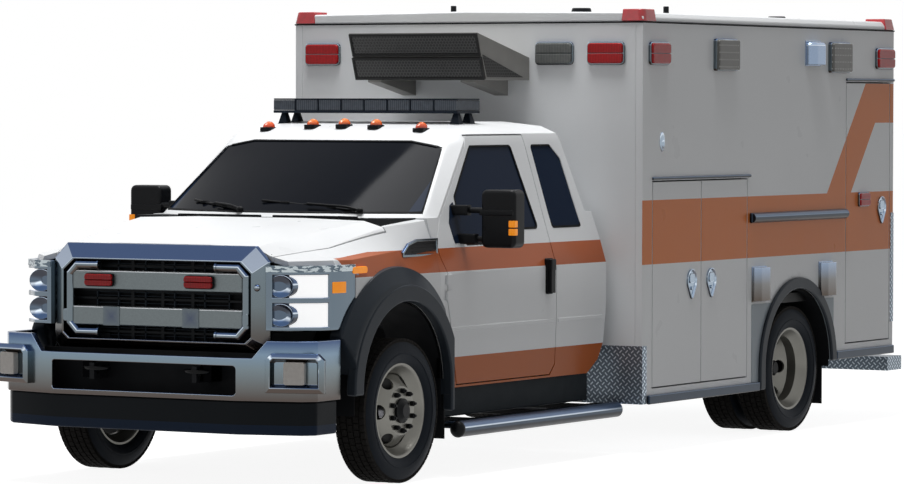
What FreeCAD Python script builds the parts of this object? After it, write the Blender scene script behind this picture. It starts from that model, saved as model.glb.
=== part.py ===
import FreeCAD, Part
import math
import os
import re
from types import SimpleNamespace

import Sketcher

# Driving dimensions, in millimetres.
# x is across the vehicle, + to its left. y runs rearward from the front axle. z is up from the ground.
SIZES = {
    # running gear
    "wheelbase": 4720, "tyre_radius": 406, "tyre_width": 226, "rim_radius": 255, "rim_half": 88,
    "bead_half": 76, "tread_half": 96, "bulge_radius": 332,
    "front_wheel_x": 945, "twin_middle_x": 955, "twin_spacing": 270, "rim_wall": 16,
    "spindle_radius": 45, "axle_radius": 60, "running_clearance": 0.05,
    "nave_radius": 150, "front_nave_out": 100, "nave_thick": 34, "twin_nave_half": 17,
    "kingpin_x": 800, "knuckle_radius": 50, "knuckle_half": 115, "yoke_gap": 0.4,
    "arm_back": 170, "arm_z": 330, "arm_thick": 30, "tie_rod_radius": 18, "ball_radius": 10, "ball_free": 1,
    # frame
    "rail_half": 430, "rail_top": 840, "rail_height": 230, "rail_flange": 75, "rail_wall": 10,
    "rail_front": -760, "cross_width": 60, "cross_height": 130,
    "engine_half": 300, "engine_front": -380, "engine_rear": 420, "engine_low": 560, "engine_high": 1120,
    "gearbox_half": 170, "gearbox_rear": 1150, "gearbox_high": 820,
    "tank_half": 330, "tank_low": 400, "tank_round": 45,
    "hook_x": 340, "hook_eye": 22, "hook_z": 640,
    "spring_x": 500, "spring_half": 650, "spring_width": 76,
    # cab
    "cab_half": 1030, "cab_front": 450, "cab_rear": 2455, "sill_z": 500, "crease_low": 850,
    "crease_high": 1160,
    "belt_z": 1310, "belt_half": 985, "glass_low": 1475, "eaves_z": 1900, "eaves_half": 815, "roof_z": 2020,
    "floor_thick": 30, "sill_inner": 900, "screen_low_y": 170, "screen_low_corner_y": 500,
    "screen_low_half": 900,
    "screen_top_y": 865, "screen_top_corner_y": 1000, "screen_top_half": 755, "pillar_depth": 80,
    "eaves_rear": 2340, "rear_corner": 80, "side_wall": 60, "roof_wall": 35, "glass_thick": 6,
    "glass_inset": 5,
    "door_front": 531, "door_rear": 1829, "door_seam_low": 655, "panel_gap": 7, "door_hinge_y": 515,
    "hinge_radius": 7, "hinge_play": 0.1,
    "window_sill": 1385, "window_dip": 1310, "window_top": 1885,
    # nose
    "hood_front": -833, "hood_rear": 60, "hood_hinge_z": 1425, "hood_gap": 7, "cowl_half": 866,
    "fender_wall": 25, "fender_front": -470, "fender_rear": 517, "arch_radius": 480, "arch_z": 540,
    "flare_radius": 575, "flare_inner": 480, "flare_half": 1092,
    "grille_half": 716, "grille_front": -915, "grille_top": 1345, "grille_low": 745, "grille_inner_half": 615,
    "grille_inner_top": 1270, "grille_inner_low": 790, "grille_depth": 70,
    "bar_half": 560, "bar_height": 105, "bar_z_high": 1141, "bar_z_low": 940,
    "lamp_low": 885, "lamp_high": 1228,
    "bumper_front": -1050, "bumper_low": 505, "bumper_mid_top": 740, "bumper_top": 835, "bumper_half": 1035,
    "bumper_wall": 40, "slot_half": 610, "slot_low": 535, "slot_high": 695,
    "valance_low": 320, "valance_y": -800,
    # roof equipment
    "bar_y": 1445, "bar_lamp_half": 643, "light_bar_z": 2070, "light_bar_height": 88, "light_bar_depth": 290,
    "bar_post": 70, "bar_post_inset": 8, "bar_post_depth": 180,
    "marker_y": 1085,
    # mirrors
    "mirror_in": 1105, "mirror_out": 1333, "mirror_y": 770, "mirror_depth": 130, "mirror_low": 1300,
    "mirror_high": 1635,
    # patient module
    "module_front": 2520, "module_half": 1244, "wall": 50, "roof_low": 2628,
    "module_low": 300, "module_low_rear": 440, "deck_z": 900, "deck_thick": 60,
    "rear_arch_radius": 500, "rear_arch_z": 430, "ring_radius": 575, "ring_out": 24,
    "locker_low": 390, "locker_top": 1660, "tall_low": 535, "door_gap": 8,
    "entry_low": 420, "back_door_half": 700, "back_door_low": 520,
    "locker_depth": 480, "liner": 12,
    "unit_half": 455, "unit_top_y": 1875, "unit_low_y": 1975,
    "lamp_out": 32, "rub_low": 297, "rub_height": 56, "rub_out": 22,
    "step_low": 315, "step_high": 410, "step_half": 1200,
}

# Places that follow from the driving dimensions.
LINKED = {
    "rear_arch_y": "wheelbase - 30",
    "module_rear": "wheelbase + 1470",
    "step_rear": "module_rear + 250",
    "rail_rear": "module_rear - 50",
    "tank_front": "wheelbase + 530",
    "tank_rear": "module_rear - 240",
    "tail_pipe_y": "wheelbase - 1070",
    "fore_length": "rear_arch_y - rear_arch_radius - module_front",
    "locker_front": "module_front + 130",
    "locker_rear": "locker_front + 0.78563 * fore_length",
    "locker_middle": "(locker_front + locker_rear) / 2 + 6",
    "entry_front": "module_front + 180",
    "entry_rear": "entry_front + 0.51497 * fore_length",
    "tall_front": "wheelbase + 712",
    "tall_rear": "module_rear - 54",
    "tall_top": "roof_low - 350",
    "entry_top": "roof_low - 350",
    "back_door_top": "roof_low - 298",
    "roof_crown": "roof_low + 72",
    "unit_top": "roof_low - 71",
    "unit_low": "roof_low - 355",
    "unit_wall_z": "roof_low - 216",
    "lamp_row_low": "roof_low - 262",
    "lamp_row_high": "roof_low - 120",
}

doc = FreeCAD.newDocument("Ambulance")
sheet = doc.addObject("Spreadsheet::Sheet", "Sizes")
NAMES = list(SIZES) + list(LINKED)
for row, alias in enumerate(NAMES, start=1):
    sheet.set("A%d" % row, alias)
    sheet.set("B%d" % row, str(SIZES.get(alias, 0)))
    sheet.setAlias("B%d" % row, alias)
doc.recompute()
for row, formula in enumerate(LINKED.values(), start=len(SIZES) + 1):
    sheet.set("B%d" % row, "=" + formula)
doc.recompute()
S = SimpleNamespace(**{alias: sheet.get(alias) for alias in NAMES})

ALIAS = re.compile("|".join(r"\b%s\b" % alias for alias in sorted(NAMES, key=len, reverse=True)))
FRAME_SHIFT = "-(bumper_front + step_rear) / 2"
NORMAL = {"YZ": "x", "XZ": "y", "XY": "z"}
sub_parts = []


def bind(item, prop, text):
    """Ties a property to an expression in the sheet's names."""
    item.setExpression(prop, ALIAS.sub(lambda found: "Sizes." + found.group(0), str(text)))


def box(name, across, along, up):
    """A block between two values on each axis."""
    block = doc.addObject("Part::Box", name)
    for prop, axis, (low, high) in zip(("Length", "Width", "Height"), "xyz", (across, along, up)):
        bind(block, prop, "(%s) - (%s)" % (high, low))
        bind(block, "Placement.Base." + axis, low)
    return block


def cylinder(name, axis, radius, start, end, first, second):
    """A round bar along an axis. first and second are its two other coordinates, in x, y, z order."""
    bar = doc.addObject("Part::Cylinder", name)
    turn = {"x": (FreeCAD.Vector(0, 1, 0), 90), "y": (FreeCAD.Vector(1, 0, 0), -90),
            "z": (FreeCAD.Vector(0, 0, 1), 0)}
    bar.Placement = FreeCAD.Placement(FreeCAD.Vector(), FreeCAD.Rotation(*turn[axis]))
    bind(bar, "Radius", radius)
    bind(bar, "Height", "(%s) - (%s)" % (end, start))
    others = [letter for letter in "xyz" if letter != axis]
    for letter, text in ((axis, start), (others[0], first), (others[1], second)):
        bind(bar, "Placement.Base." + letter, text)
    return bar


def outline(body, name, plane, points):
    """A closed sketch whose corners are pinned to expressions."""
    sketch = body.newObject("Sketcher::SketchObject", name)
    support = [item for item in body.Origin.OriginFeatures if item.Role == plane + "_Plane"][0]
    sketch.AttachmentSupport = [(support, "")]
    sketch.MapMode = "FlatFace"
    count = len(points)
    ring = [FreeCAD.Vector(10 * math.cos(2 * math.pi * step / count),
                           10 * math.sin(2 * math.pi * step / count), 0)
            for step in range(count)]
    sketch.addGeometry([Part.LineSegment(ring[step], ring[(step + 1) % count]) for step in range(count)],
                       False)
    for step in range(count):
        sketch.addConstraint(Sketcher.Constraint("Coincident", step, 2, (step + 1) % count, 1))
    for step, corner in enumerate(points):
        for kind, text in zip(("DistanceX", "DistanceY"), corner):
            index = sketch.addConstraint(Sketcher.Constraint(kind, -1, 1, step, 1, 1.0))
            bind(sketch, "Constraints[%d]" % index, text)
    return sketch


def prism(name, plane, points, start, end, rounding=None):
    """A padded outline between two values on the plane's normal, its long edges rounded if asked."""
    body = doc.addObject("PartDesign::Body", name)
    sketch = outline(body, name + "_outline", plane, points)
    pad = body.newObject("PartDesign::Pad", name + "_pad")
    pad.Profile = sketch
    pad.Reversed = plane == "XZ"
    bind(pad, "Length", "(%s) - (%s)" % (end, start))
    bind(body, "Placement.Base." + NORMAL[plane], start)
    if rounding:
        doc.recompute()
        direction = {"x": FreeCAD.Vector(1, 0, 0), "y": FreeCAD.Vector(0, 1, 0), "z": FreeCAD.Vector(0, 0, 1)}
        along = direction[NORMAL[plane]]
        edges = ["Edge%d" % number for number, edge in enumerate(pad.Shape.Edges, start=1)
                 if abs(edge.tangentAt(edge.FirstParameter).dot(along)) > 0.99]
        fillet = body.newObject("PartDesign::Fillet", name + "_fillet")
        fillet.Base = (pad, edges)
        bind(fillet, "Radius", rounding)
        body.Tip = fillet
    return body


def turned(name, points, x, y, z):
    """A turned piece about an axis across the vehicle. Its outline gives distance along it and radius."""
    body = doc.addObject("PartDesign::Body", name)
    sketch = outline(body, name + "_outline", "XZ", points)
    turn = body.newObject("PartDesign::Revolution", name + "_turn")
    turn.Profile = sketch
    turn.ReferenceAxis = (sketch, ["H_Axis"])
    turn.Angle = 360
    for letter, text in zip("xyz", (x, y, z)):
        bind(body, "Placement.Base." + letter, text)
    return body


def fuse(name, *pieces):
    joined = doc.addObject("Part::MultiFuse", name)
    joined.Shapes = list(pieces)
    joined.Refine = True
    return joined


def cut(name, base, *tools):
    removed = doc.addObject("Part::Cut", name)
    removed.Base = base
    removed.Tool = tools[0] if len(tools) == 1 else fuse(name + "_tools", *tools)
    removed.Refine = True
    return removed


def mirrored(name, source):
    """The same piece on the other side of the vehicle."""
    copy = doc.addObject("Part::Mirroring", name)
    copy.Source = source
    copy.Normal = FreeCAD.Vector(1, 0, 0)
    return copy


def solid(name, shape):
    """A piece whose shape is worked out from the sizes in code."""
    feature = doc.addObject("Part::Feature", name)
    feature.Shape = shape
    return feature


def node(label, *pieces):
    """A sub-part that is written to its own file."""
    holder = doc.addObject("Part::Compound", "Node_" + label)
    holder.Links = list(pieces)
    holder.Label = label
    bind(holder, "Placement.Base.y", FRAME_SHIFT)
    sub_parts.append(holder)
    return holder


def both_sides(label, piece):
    """A sub-part made of a piece and its mirror image."""
    return node(label, piece, mirrored(label + "_mirror", piece))


def point(x, y, z):
    return FreeCAD.Vector(x, y, z)


# Frame, engine and tank

def frame_rails():
    inner = "rail_half - rail_wall"
    section = [("rail_half", "rail_top - rail_height"), ("rail_half", "rail_top"),
               ("rail_half - rail_flange", "rail_top"), ("rail_half - rail_flange", "rail_top - rail_wall"),
               (inner, "rail_top - rail_wall"), (inner, "rail_top - rail_height + rail_wall"),
               ("rail_half - rail_flange", "rail_top - rail_height + rail_wall"),
               ("rail_half - rail_flange", "rail_top - rail_height")]
    rail = prism("Rail", "XZ", section, "rail_front", "rail_rear")
    cross = []
    places = ["rail_front", "0.265 * wheelbase", "0.403 * wheelbase", "0.551 * wheelbase", "0.7 * wheelbase",
              "0.827 * wheelbase", "wheelbase + 480", "rail_rear - cross_width"]
    for number, place in enumerate(places):
        cross.append(box("Cross%d" % number, ("-(%s)" % inner, inner), (place, place + " + cross_width"),
                         ("rail_top - rail_height + rail_wall",
                          "rail_top - rail_height + rail_wall + cross_height")))
    iron = box("StepIron", ("rail_half", "rail_half + 60"), ("rail_rear - 250", "module_rear + 20"),
               ("step_low + 20", "step_high - 20"))
    drop = box("StepDrop", ("rail_half", "rail_half + 60"), ("rail_rear - 250", "rail_rear - 130"),
               ("step_low + 20", "rail_top - 60"))
    side = fuse("RailSet", rail, iron, drop)
    node("frame_rails", fuse("Ladder", side, mirrored("RailRight", side), *cross))


def tow_hooks():
    plate = box("HookPlate", ("hook_x - 15", "hook_x + 15"), ("bumper_front + 5", "bumper_front + 190"),
                ("hook_z - 45", "hook_z + 45"))
    eye = cylinder("HookEye", "x", "hook_eye", "hook_x - 20", "hook_x + 20", "bumper_front + 50", "hook_z")
    both_sides("tow_hooks", cut("Hook", plate, eye))


def engine():
    block = box("Engine", ("-engine_half", "engine_half"), ("engine_front", "engine_rear"),
                ("engine_low", "engine_high"))
    gearbox = box("Gearbox", ("-gearbox_half", "gearbox_half"), ("engine_rear", "gearbox_rear"),
                  ("engine_low", "gearbox_high"))
    arms = box("EngineArms", ("-(rail_half - rail_wall)", "rail_half - rail_wall"), ("-60", "60"),
               ("690", "760"))
    node("engine_block", fuse("EngineBlock", block, gearbox, arms))


def fuel_tank():
    top = "rail_top - rail_height + rail_wall"
    tank = prism("Tank", "XZ", [("-tank_half", "tank_low"), ("tank_half", "tank_low"), ("tank_half", top),
                                ("-tank_half", top)], "tank_front", "tank_rear", "tank_round")
    hanger = box("TankCross", ("-(rail_half - rail_wall)", "rail_half - rail_wall"),
                 ("tank_front + 310", "tank_front + 370"), (top, top + " + 60"))
    node("fuel_tank", fuse("TankHung", tank, hanger))


def exhaust():
    pipe_x, pipe_z = "-620", "470"
    muffler = cylinder("Muffler", "y", "110", "1500", "2250", pipe_x, pipe_z)
    pipe = cylinder("Pipe", "y", "40", "700", "tail_pipe_y", pipe_x, pipe_z)
    elbow = cylinder("Elbow", "x", "40", "-1100", pipe_x, "tail_pipe_y", pipe_z)
    tip = cylinder("Tip", "z", "40", "285", pipe_z, "-1100", "tail_pipe_y")
    hangers = [box("Hanger%d" % place, ("-640", "-rail_half"), (place, place + 30), ("470", "650"))
               for place in (1600, 2150)]
    node("exhaust", fuse("ExhaustLine", muffler, pipe, elbow, tip, *hangers))


# Axles, steering and wheels

def front_axle():
    back = "kingpin_x - knuckle_radius - 15"
    high = "tyre_radius + knuckle_half + yoke_gap"
    low = "tyre_radius - knuckle_half - yoke_gap"
    beam = cylinder("FrontBeam", "x", "55", "-(%s)" % back, back, "0", "tyre_radius")
    pieces = [beam]
    for side, sign in (("Left", ""), ("Right", "-")):
        def span(first, second, sign=sign):
            return (first, second) if not sign else ("-(%s)" % second, "-(%s)" % first)
        pieces.append(box("YokeBack" + side, span(back + " - 35", back), ("-45", "45"),
                          (low + " - 30", high + " + 30")))
        pieces.append(box("YokeTop" + side, span(back, "kingpin_x + knuckle_radius"), ("-45", "45"),
                          (high, high + " + 30")))
        pieces.append(box("YokeLow" + side, span(back, "kingpin_x + knuckle_radius"), ("-45", "45"),
                          (low + " - 30", low)))
        pieces.append(cylinder("Spring" + side, "z", "62", "tyre_radius + 30", "rail_top - rail_height",
                               "-480" if sign else "480", "0"))
        pieces.append(box("SpringSeat" + side, span("rail_half", "542"), ("-62", "62"),
                          ("rail_top - rail_height", "rail_top - rail_height + 90")))
    node("front_axle", fuse("FrontAxle", *pieces))


def knuckles():
    post = cylinder("KnucklePost", "z", "knuckle_radius", "tyre_radius - knuckle_half",
                    "tyre_radius + knuckle_half",
                    "kingpin_x", "0")
    spindle = cylinder("Spindle", "x", "spindle_radius", "kingpin_x", "front_wheel_x + front_nave_out + 12",
                       "0", "tyre_radius")
    arm = box("SteeringArm", ("kingpin_x - 25", "kingpin_x + 25"), ("0", "arm_back + 30"),
              ("arm_z - arm_thick / 2", "arm_z + arm_thick / 2"))
    ball = cylinder("ArmPin", "z", "ball_radius", "arm_z", "arm_z + arm_thick / 2 + 60", "kingpin_x",
                    "arm_back")
    left = fuse("Knuckle", post, spindle, arm, ball)
    node("left_knuckle", left)
    node("right_knuckle", mirrored("KnuckleRight", left))


def tie_rod():
    low, high = "arm_z + arm_thick / 2 + 6", "arm_z + arm_thick / 2 + 46"
    middle = "arm_z + arm_thick / 2 + 26"
    rod = cylinder("TieRod", "x", "tie_rod_radius", "-kingpin_x", "kingpin_x", "arm_back", middle)
    eyes = [cylinder("RodEye" + side, "z", "26", low, high, x, "arm_back")
            for side, x in (("Left", "kingpin_x"), ("Right", "-kingpin_x"))]
    bores = [cylinder("RodBoreLeft", "z", "ball_radius + running_clearance", low + " - 20", high + " + 20",
                      "kingpin_x", "arm_back"),
             cylinder("RodBoreRight", "z", "ball_radius + ball_free", low + " - 20", high + " + 20",
                      "-kingpin_x", "arm_back")]
    node("tie_rod", cut("TieRodCut", fuse("TieRodSolid", rod, *eyes), *bores))


def rear_axle():
    beam = cylinder("RearBeam", "x", "axle_radius", "-(twin_middle_x + 60)", "twin_middle_x + 60",
                    "wheelbase", "tyre_radius")
    case = cylinder("Differential", "y", "165", "wheelbase - 150", "wheelbase + 130", "0", "tyre_radius")
    low = "tyre_radius + axle_radius"
    hang = "rail_top - rail_height"
    leaf = [("wheelbase - spring_half", hang + " - 30"), ("wheelbase - 100", low + " - 10"),
            ("wheelbase + 100", low + " - 10"), ("wheelbase + spring_half", hang + " - 30"),
            ("wheelbase + spring_half", hang), ("wheelbase + 100", low + " + 70"),
            ("wheelbase - 100", low + " + 70"), ("wheelbase - spring_half", hang)]
    spring = prism("LeafStack", "YZ", leaf, "spring_x - spring_width", "spring_x")
    brackets = [box("SpringBracket" + end, ("rail_half", "spring_x"), (y, y + " + 60"),
                    (hang + " - 5", hang + " + 120"))
                for end, y in (("Front", "wheelbase - spring_half"),
                               ("Rear", "wheelbase + spring_half - 60"))]
    left = fuse("SpringSet", spring, *brackets)
    shaft = cylinder("DriveShaft", "y", "40", "gearbox_rear", "wheelbase - 100", "0", "engine_low")
    node("rear_axle", fuse("RearAxle", beam, case, left, mirrored("SpringSetRight", left), shaft))


def tyre(name, x, y, plain=False):
    if plain:
        profile = [("-bead_half", "rim_radius"), ("-tread_half", "tyre_radius"),
                   ("tread_half", "tyre_radius"),
                   ("bead_half", "rim_radius")]
    else:
        profile = [("-bead_half", "rim_radius"), ("-tyre_width / 2", "bulge_radius"),
                   ("-tread_half", "tyre_radius"),
                   ("tread_half", "tyre_radius"), ("tyre_width / 2", "bulge_radius"),
                   ("bead_half", "rim_radius")]
    return turned(name, profile, x, y, "tyre_radius")


def wheels():
    bore = "spindle_radius + running_clearance"
    face = "front_nave_out"
    front = [("-rim_half", "rim_radius"), ("rim_half", "rim_radius"), ("rim_half", "rim_radius - rim_wall"),
             ("rim_half - 38", "rim_radius - rim_wall - 6"), (face, "nave_radius"), (face, bore),
             (face + " - nave_thick", bore), (face + " - nave_thick - 36", "rim_radius - rim_wall"),
             ("-rim_half", "rim_radius - rim_wall")]
    half, offset = "twin_nave_half", "twin_spacing / 2"
    deep = "axle_radius + running_clearance"
    inner, thick = "rim_radius - rim_wall", "rim_half - rim_wall / 2"
    rear = [("-(%s) - rim_half" % offset, "rim_radius"), ("-(%s) + rim_half" % offset, "rim_radius"),
            ("0", "nave_radius + 15"), ("%s - rim_half" % offset, "rim_radius"),
            ("%s + rim_half" % offset, "rim_radius"), ("%s + rim_half" % offset, inner),
            ("%s - (%s)" % (offset, thick), inner), (half, "nave_radius"), (half, deep),
            ("-" + half, deep), ("-" + half, "nave_radius"), ("-(%s) + (%s)" % (offset, thick), inner),
            ("-(%s) - rim_half" % offset, inner)]
    for side, sign in (("left", ""), ("right", "-")):
        x_front, x_twin = sign + "front_wheel_x", sign + "twin_middle_x"
        profile = front if not sign else [("-(%s)" % x, r) for x, r in front]
        node("front_%s_wheel" % side, turned("FrontWheel_" + side, profile, x_front, "0", "tyre_radius"))
        node("front_%s_tyre" % side, tyre("FrontTyre_" + side, x_front, "0"))
        node("rear_%s_wheel" % side, turned("TwinWheel_" + side, rear, x_twin, "wheelbase", "tyre_radius"))
        outer = "%s(twin_middle_x + twin_spacing / 2)" % sign
        inside = "%s(twin_middle_x - twin_spacing / 2)" % sign
        node("rear_%s_tyre" % side, tyre("OuterTyre_" + side, outer, "wheelbase"),
             tyre("InnerTyre_" + side, inside, "wheelbase", plain=True))


# Cab

def plan_wire(z, half, front, corner_y, corner_half, rear, inset=0):
    """The cab's outline seen from above at one height: curved screen, pillars, sides and back."""
    half, rear, front = half - inset, rear - inset, front + inset
    corner_half, corner_y = corner_half - inset * 0.6, corner_y + inset
    pillar = corner_y + S.pillar_depth
    bend = S.rear_corner
    left, right = point(corner_half, corner_y, z), point(-corner_half, corner_y, z)
    screen = Part.Arc(right, point(0, front, z), left).toShape()
    rest = [left, point(half, pillar, z), point(half, rear - bend, z), point(half - bend, rear, z),
            point(-half + bend, rear, z), point(-half, rear - bend, z), point(-half, pillar, z), right]
    edges = [screen] + [Part.makeLine(first, second) for first, second in zip(rest, rest[1:])]
    return Part.Wire(edges)


def cab_volume(inset=0, roof_inset=0, floor_inset=0, shelf=0):
    """The whole cab as one solid, drawn in by the given amounts."""
    slope = (S.screen_top_y - S.screen_low_y) / (S.eaves_z - S.glass_low)
    low = S.glass_low + shelf
    lift = low - S.glass_low
    wires = [plan_wire(low, S.belt_half - 50, S.screen_low_y + slope * lift, S.screen_low_corner_y + lift,
                       S.screen_low_half, S.cab_rear - 20, inset),
             plan_wire(S.eaves_z - roof_inset, S.eaves_half, S.screen_top_y - slope * roof_inset,
                       S.screen_top_corner_y - roof_inset, S.screen_top_half, S.eaves_rear, inset)]
    upper = Part.makeLoft(wires, True, True)
    steps = ((0.42, 20, 80), (0.78, 90, 230), (1.0, 260, 560))
    rise = S.roof_z - S.eaves_z
    crown = [wires[-1]]
    for share, aside, behind in steps:
        crown.append(plan_wire(S.eaves_z - roof_inset + share * rise, S.eaves_half - aside,
                               S.screen_top_y + behind, S.screen_top_corner_y + behind * 0.8,
                               S.screen_top_half - aside, S.eaves_rear - aside * 0.9, inset))
    top = Part.makeLoft(crown, True, True)
    floor = S.sill_z + floor_inset
    high = S.glass_low + shelf
    side = [(S.cab_half - 15, S.sill_z), (S.cab_half, S.crease_low), (S.cab_half, S.crease_high),
            (S.belt_half + 15, S.belt_z - 50), (S.belt_half, S.belt_z), (S.belt_half - 50, S.glass_low)]
    half_section = [point(x - inset, 0, max(z, floor)) for x, z in side]
    half_section[-1] = point(S.belt_half - 50 - inset, 0, high)
    section = half_section + [point(-corner.x, 0, corner.z) for corner in reversed(half_section)]
    lower = Part.Face(Part.makePolygon(section + section[:1])).extrude(point(0, 4000, 0))
    front, rear = S.cab_front + inset, S.cab_rear - inset
    profile = [point(-2000, front, floor), point(-2000, rear - 215, floor),
               point(-2000, rear - 85, floor + 80),
               point(-2000, rear - 25, floor + 180), point(-2000, rear, floor + 430),
               point(-2000, rear, S.belt_z), point(-2000, rear - 20, high), point(-2000, front, high)]
    length = Part.Face(Part.makePolygon(profile + profile[:1])).extrude(point(4000, 0, 0))
    return lower.common(length).fuse([upper, top]).removeSplitter()


def prism_x(points, low, high):
    """An outline in the side view, run across the vehicle."""
    corners = [point(low, y, z) for y, z in points]
    return Part.Face(Part.makePolygon(corners + corners[:1])).extrude(point(high - low, 0, 0))


def rounded_x(points, radius, low, high, grow=0):
    """The same with its corners rounded, and grown or shrunk."""
    block = prism_x(points, low, high)
    edges = [edge for edge in block.Edges if abs(edge.tangentAt(edge.FirstParameter).x) > 0.99]
    block = block.makeFillet(radius, edges)
    if grow:
        face = [item for item in block.Faces if abs(item.normalAt(0, 0).x) > 0.99][0]
        wire = face.OuterWire.makeOffset2D(grow)
        wire.translate(point(low - face.CenterOfMass.x, 0, 0))
        block = Part.Face(wire).extrude(point(high - low, 0, 0))
    return block


def door_outline(gap=0):
    """The side door seen from the left, drawn in by the gap."""
    front, rear = S.door_front + gap, S.door_rear - gap
    foot, low = S.door_seam_low + gap, S.sill_z + 12 + gap
    top = S.window_top + 62 - gap
    return [(front, S.crease_high), (S.cab_front + 42 + gap, S.belt_z - 50),
            (S.cab_front + 42 + gap, S.belt_z + 20),
            (600 + gap, S.glass_low), (1085 + gap, S.eaves_z - 15), (1120 + gap, top), (rear, top),
            (rear, low + 60), (rear - 60, low), (foot, low), (front, S.crease_low + 150)]


def cab():
    outer = cab_volume()
    inner = cab_volume(S.side_wall, S.roof_wall, 0, 25)
    skin = outer.cut(inner)
    reach = S.cab_half + 60
    hinge_x = S.cab_half + S.hinge_radius + S.hinge_play
    swing = S.door_rear - S.door_hinge_y
    zone_plan = [(880, 300), (880, S.glass_low + 5), (S.eaves_half - 125, S.eaves_z),
                 (S.eaves_half - 125, S.roof_z),
                 (reach, S.roof_z), (reach, 300)]
    deck = Part.makeBox(2 * S.sill_inner, S.cab_rear, S.floor_thick,
                        point(-S.sill_inner, S.cab_front, S.rail_top))
    sills = Part.makeBox(4000, S.cab_rear, S.rail_top + S.floor_thick - S.sill_z,
                         point(-2000, S.cab_front, S.sill_z))
    sills = sills.cut(Part.makeBox(2 * S.sill_inner, 4000, 1000, point(-S.sill_inner, 0, S.sill_z - 10)))
    lining = cab_volume(S.side_wall, S.roof_wall, 0, 25).common(sills)
    under = Part.makeBox(2 * S.sill_inner, 4000, S.rail_top - S.sill_z + 20,
                         point(-S.sill_inner, 0, S.sill_z - 20))
    wheel_side = Part.makeBox(4000, S.door_front - 6, S.rail_top - S.sill_z + 20,
                              point(-2000, 0, S.sill_z - 20))
    shell = skin.fuse([outer.common(deck), lining]).cut(under.fuse(wheel_side)).removeSplitter()

    def side_zone(radius, sign):
        """Where a door may be: near the cab's side, and within the reach of its swing."""
        corners = [point(sign * x, 0, z) for x, z in zone_plan]
        slab = Part.Face(Part.makePolygon(corners + corners[:1])).extrude(point(0, 4000, 0))
        return slab.common(Part.makeCylinder(radius, 2000, point(sign * hinge_x, S.door_hinge_y, 300)))

    window = [(815, S.window_dip), (815, 1590), (1140, S.window_top), (1630, S.window_top),
              (1725, S.window_sill), (1100, S.window_sill), (1020, S.window_dip)]
    quarter = [(1895, S.window_sill), (1870, S.window_top), (2110, S.window_top), (2205, 1800),
               (2262, S.window_sill)]
    screen = [(-S.screen_low_half + 30, S.glass_low + 22), (S.screen_low_half - 30, S.glass_low + 22),
              (S.screen_top_half - 15, S.eaves_z - 25), (S.screen_top_half - 215, S.eaves_z + 8),
              (-S.screen_top_half + 215, S.eaves_z + 8), (-S.screen_top_half + 15, S.eaves_z - 25)]
    corners = [point(x, 0, z) for x, z in screen]
    screen_cut = Part.Face(Part.makePolygon(corners + corners[:1])).extrude(point(0, S.marker_y - 20, 0))
    back_cut = Part.makeBox(1100, 400, 330, point(-550, S.cab_rear - 250, S.window_sill + 40))
    quarter_cut = rounded_x(quarter, 25, -reach, reach)
    body = shell
    doors = {}
    for side, sign in (("left", 1), ("right", -1)):
        low, high = sorted((sign * 500, sign * reach))
        opening = prism_x(door_outline(), low, high).common(side_zone(swing, sign))
        leaf = prism_x(door_outline(S.panel_gap), low, high).common(side_zone(swing - S.panel_gap, sign))
        glass_hole = rounded_x(window, 30, low, high)
        handle = Part.makeBox(42, 46, 190,
                              point(S.cab_half - 6 if sign > 0 else -S.cab_half - 36, 1700, 1010))
        door = skin.common(leaf).cut(glass_hole).fuse([handle] + door_hinges(sign, hinge_x))
        doors[side] = (door.removeSplitter(), glass_hole)
        body = body.cut(skin.common(opening))
    body = body.cut(screen_cut.fuse([quarter_cut, back_cut])).removeSplitter()
    node("cab_shell", solid("CabShell", body))
    inset = S.glass_inset
    deeper = inset + S.glass_thick
    pane = cab_volume(inset, inset, inset, 4).cut(cab_volume(deeper, deeper, deeper, 8))
    panes = [pane.common(screen_cut), pane.common(quarter_cut), pane.common(back_cut)]
    solids = [item for piece in panes for item in piece.Solids]
    node("cab_glass", *[solid("CabPane%d" % number, item) for number, item in enumerate(solids)])
    for side, (door, hole) in doors.items():
        node(side + "_cab_door", solid(side.title() + "CabDoor", door))
        node(side + "_door_glass", solid(side.title() + "DoorGlass", pane.common(hole)))
    return outer


def door_hinges(sign, hinge_x):
    """The two hinge barrels of a cab door with the straps that carry them."""
    pieces = []
    for z in (1005, 1095):
        barrel = Part.makeCylinder(S.hinge_radius, 55, point(sign * hinge_x, S.door_hinge_y, z))
        strap_x = sign * (S.cab_half + 3) if sign > 0 else -S.cab_half - 11
        strap = Part.makeBox(8, 60, 55, point(strap_x, S.door_hinge_y, z))
        foot = Part.makeBox(16, 30, 55, point(sign * S.cab_half - 8, S.door_hinge_y + 30, z))
        pieces += [barrel, strap, foot]
    return pieces


def mirrors():
    head = prism("MirrorHead", "XZ", [("mirror_in", "mirror_low"), ("mirror_out", "mirror_low"),
                                      ("mirror_out", "mirror_high"), ("mirror_in", "mirror_high")],
                 "mirror_y", "mirror_y + mirror_depth", "35")
    low_x = "belt_half - 50 * (1328 - belt_z) / (glass_low - belt_z)"
    high_x = "belt_half - 50 - (belt_half - 50 - eaves_half) * (1493 - glass_low) / (eaves_z - glass_low)"
    arms = [box("MirrorArmLow", (low_x, "mirror_in + 20"), ("mirror_y - 15", "mirror_y + 30"),
                ("1328", "1372")),
            box("MirrorArmHigh", (high_x, "mirror_in + 20"), ("mirror_y - 15", "mirror_y + 30"),
                ("1493", "1537"))]
    return fuse("Mirror", head, *arms)


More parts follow.
